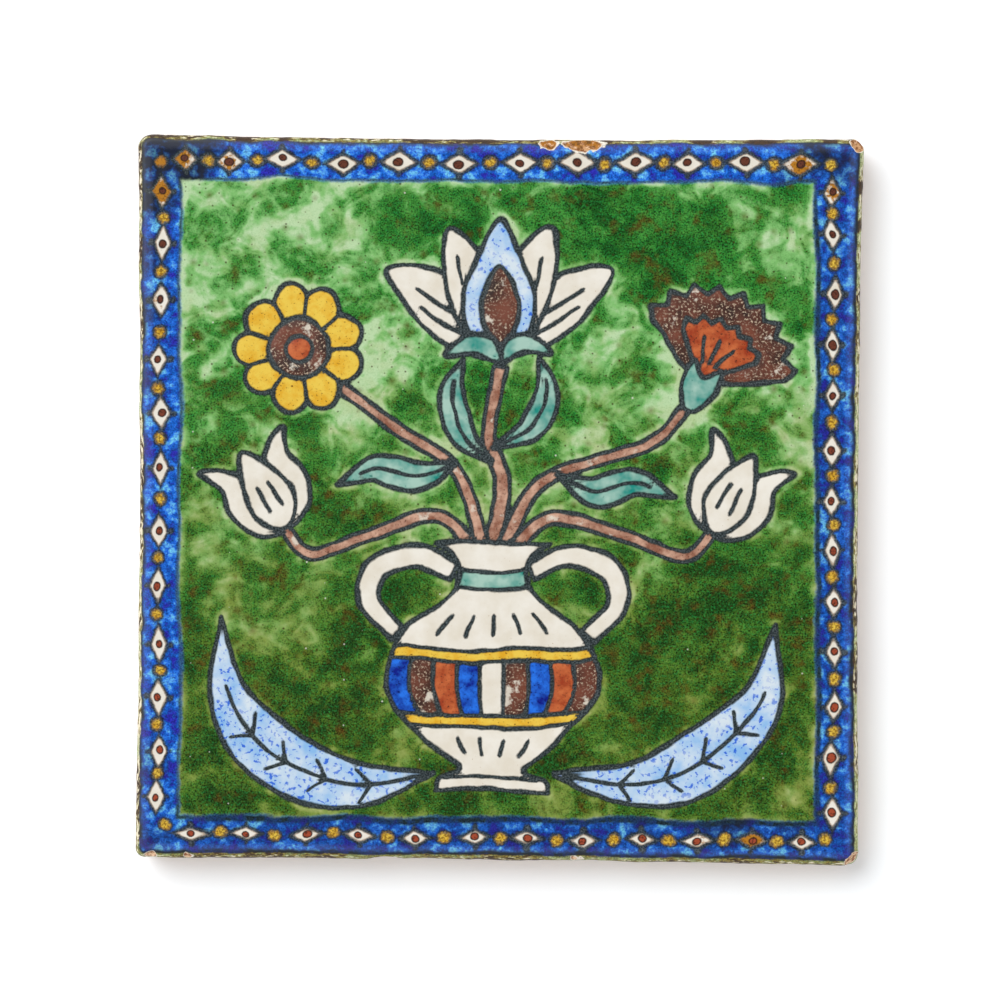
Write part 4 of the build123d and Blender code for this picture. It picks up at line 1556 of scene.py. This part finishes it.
def studio_paper(stage):
    """Matt white paper: it keeps the tile's soft shadow, and is white to the camera and in reflections."""
    material = bpy.data.materials.new("matt_white_paper")
    material.use_nodes = True
    tree = material.node_tree
    tree.nodes.clear()
    tint = tuple(stage.floor_tint)
    paper = add(tree, "BsdfDiffuse", tint)
    glow = add(tree, "AddShader", paper, add(tree, "Emission", tint, stage.floor_glow))
    rays = ("Is Camera Ray", "Is Glossy Ray", "Is Transmission Ray")
    seen = [add(tree, "LightPath", out=ray) for ray in rays]
    shown = add(tree, "Math", seen[0], seen[1], operation="MAXIMUM")
    shown = add(tree, "Math", shown, seen[2], operation="MAXIMUM")
    add(tree, "OutputMaterial", add(tree, "MixShader", shown, paper, glow))
    return material


class TILE_OT_stage(bpy.types.Operator):
    """Make the white floor, the soft lamp, the pale room and the camera above the tile"""

    bl_idname = "tile.stage"
    bl_label = "Stage"
    bl_options = {"REGISTER", "UNDO"}

    def execute(self, context):
        scene, stage = context.scene, context.scene.tile_stage
        scene.view_settings.view_transform = "Standard"
        half = stage.floor_side / 2
        mesh = bpy.data.meshes.new("floor")
        corners = [(-half, -half, LOW.z), (half, -half, LOW.z), (half, half, LOW.z), (-half, half, LOW.z)]
        mesh.from_pydata(corners, [], [(0, 1, 2, 3)])
        mesh.materials.append(studio_paper(stage))
        floor = bpy.data.objects.new("floor", mesh)
        scene.collection.objects.link(floor)

        lamp = bpy.data.lights.new("soft_lamp", "SUN")
        lamp.energy = stage.lamp_strength
        lamp.angle = stage.lamp_softness
        lamp_object = bpy.data.objects.new("soft_lamp", lamp)
        lamp_object.rotation_euler = (0, math.pi / 2 - stage.lamp_height, stage.lamp_side)
        scene.collection.objects.link(lamp_object)

        world = bpy.data.worlds.new("pale_room")
        world.use_nodes = True
        tree = world.node_tree
        tree.nodes.clear()
        upward = add(tree, "SeparateXYZ", add(tree, "TexCoord", out="Generated"), out="Z")
        low, full, top = ((level, level, level, 1) for level in (stage.sky_low, 1, stage.sky_top))
        heights = [(0.0, low), (stage.sky_bright, full), (stage.sky_dark, top)]
        light = add(tree, "ValToRGB", upward, stops=heights)
        add(tree, "OutputWorld", add(tree, "Background", light, stage.sky_strength))
        scene.world = world

        camera = bpy.data.cameras.new("camera")
        camera.lens = camera.sensor_width * stage.camera_height / stage.frame_width
        camera_object = bpy.data.objects.new("camera", camera)
        camera_object.location = (stage.camera_right, stage.camera_back, HIGH.z + stage.camera_height)
        camera_object.rotation_euler = (0, 0, stage.camera_roll)
        scene.collection.objects.link(camera_object)
        scene.camera = camera_object
        return {"FINISHED"}


class TILE_PT_panel(bpy.types.Panel):
    """The tile's sizes, its glazes and its stage"""

    bl_idname = "TILE_PT_panel"
    bl_label = "Glazed pottery tile"
    bl_space_type = "VIEW_3D"
    bl_region_type = "UI"
    bl_category = "Tile"

    def draw(self, context):
        for group in GROUPS:
            box = self.layout.box()
            box.label(text=group)
            settings = getattr(context.scene, group)
            for name in settings.__annotations__:
                box.prop(settings, name)
        for operator in OPERATORS:
            self.layout.operator(operator.bl_idname)


GROUPS = {"tile_slab": TileSlab, "tile_glazes": TileGlazes, "tile_stage": TileStage}
OPERATORS = (TILE_OT_glazed_tile, TILE_OT_stage)


def register():
    for kind in (*GROUPS.values(), *OPERATORS, TILE_PT_panel):
        bpy.utils.register_class(kind)
    for name, group in GROUPS.items():
        setattr(bpy.types.Scene, name, PointerProperty(type=group))


def unregister():
    for name in GROUPS:
        delattr(bpy.types.Scene, name)
    for kind in reversed((*GROUPS.values(), *OPERATORS, TILE_PT_panel)):
        bpy.utils.unregister_class(kind)


def main():
    register()
    bpy.ops.tile.glazed_tile()
    bpy.ops.tile.stage()


if __name__ == "__main__":
    main()
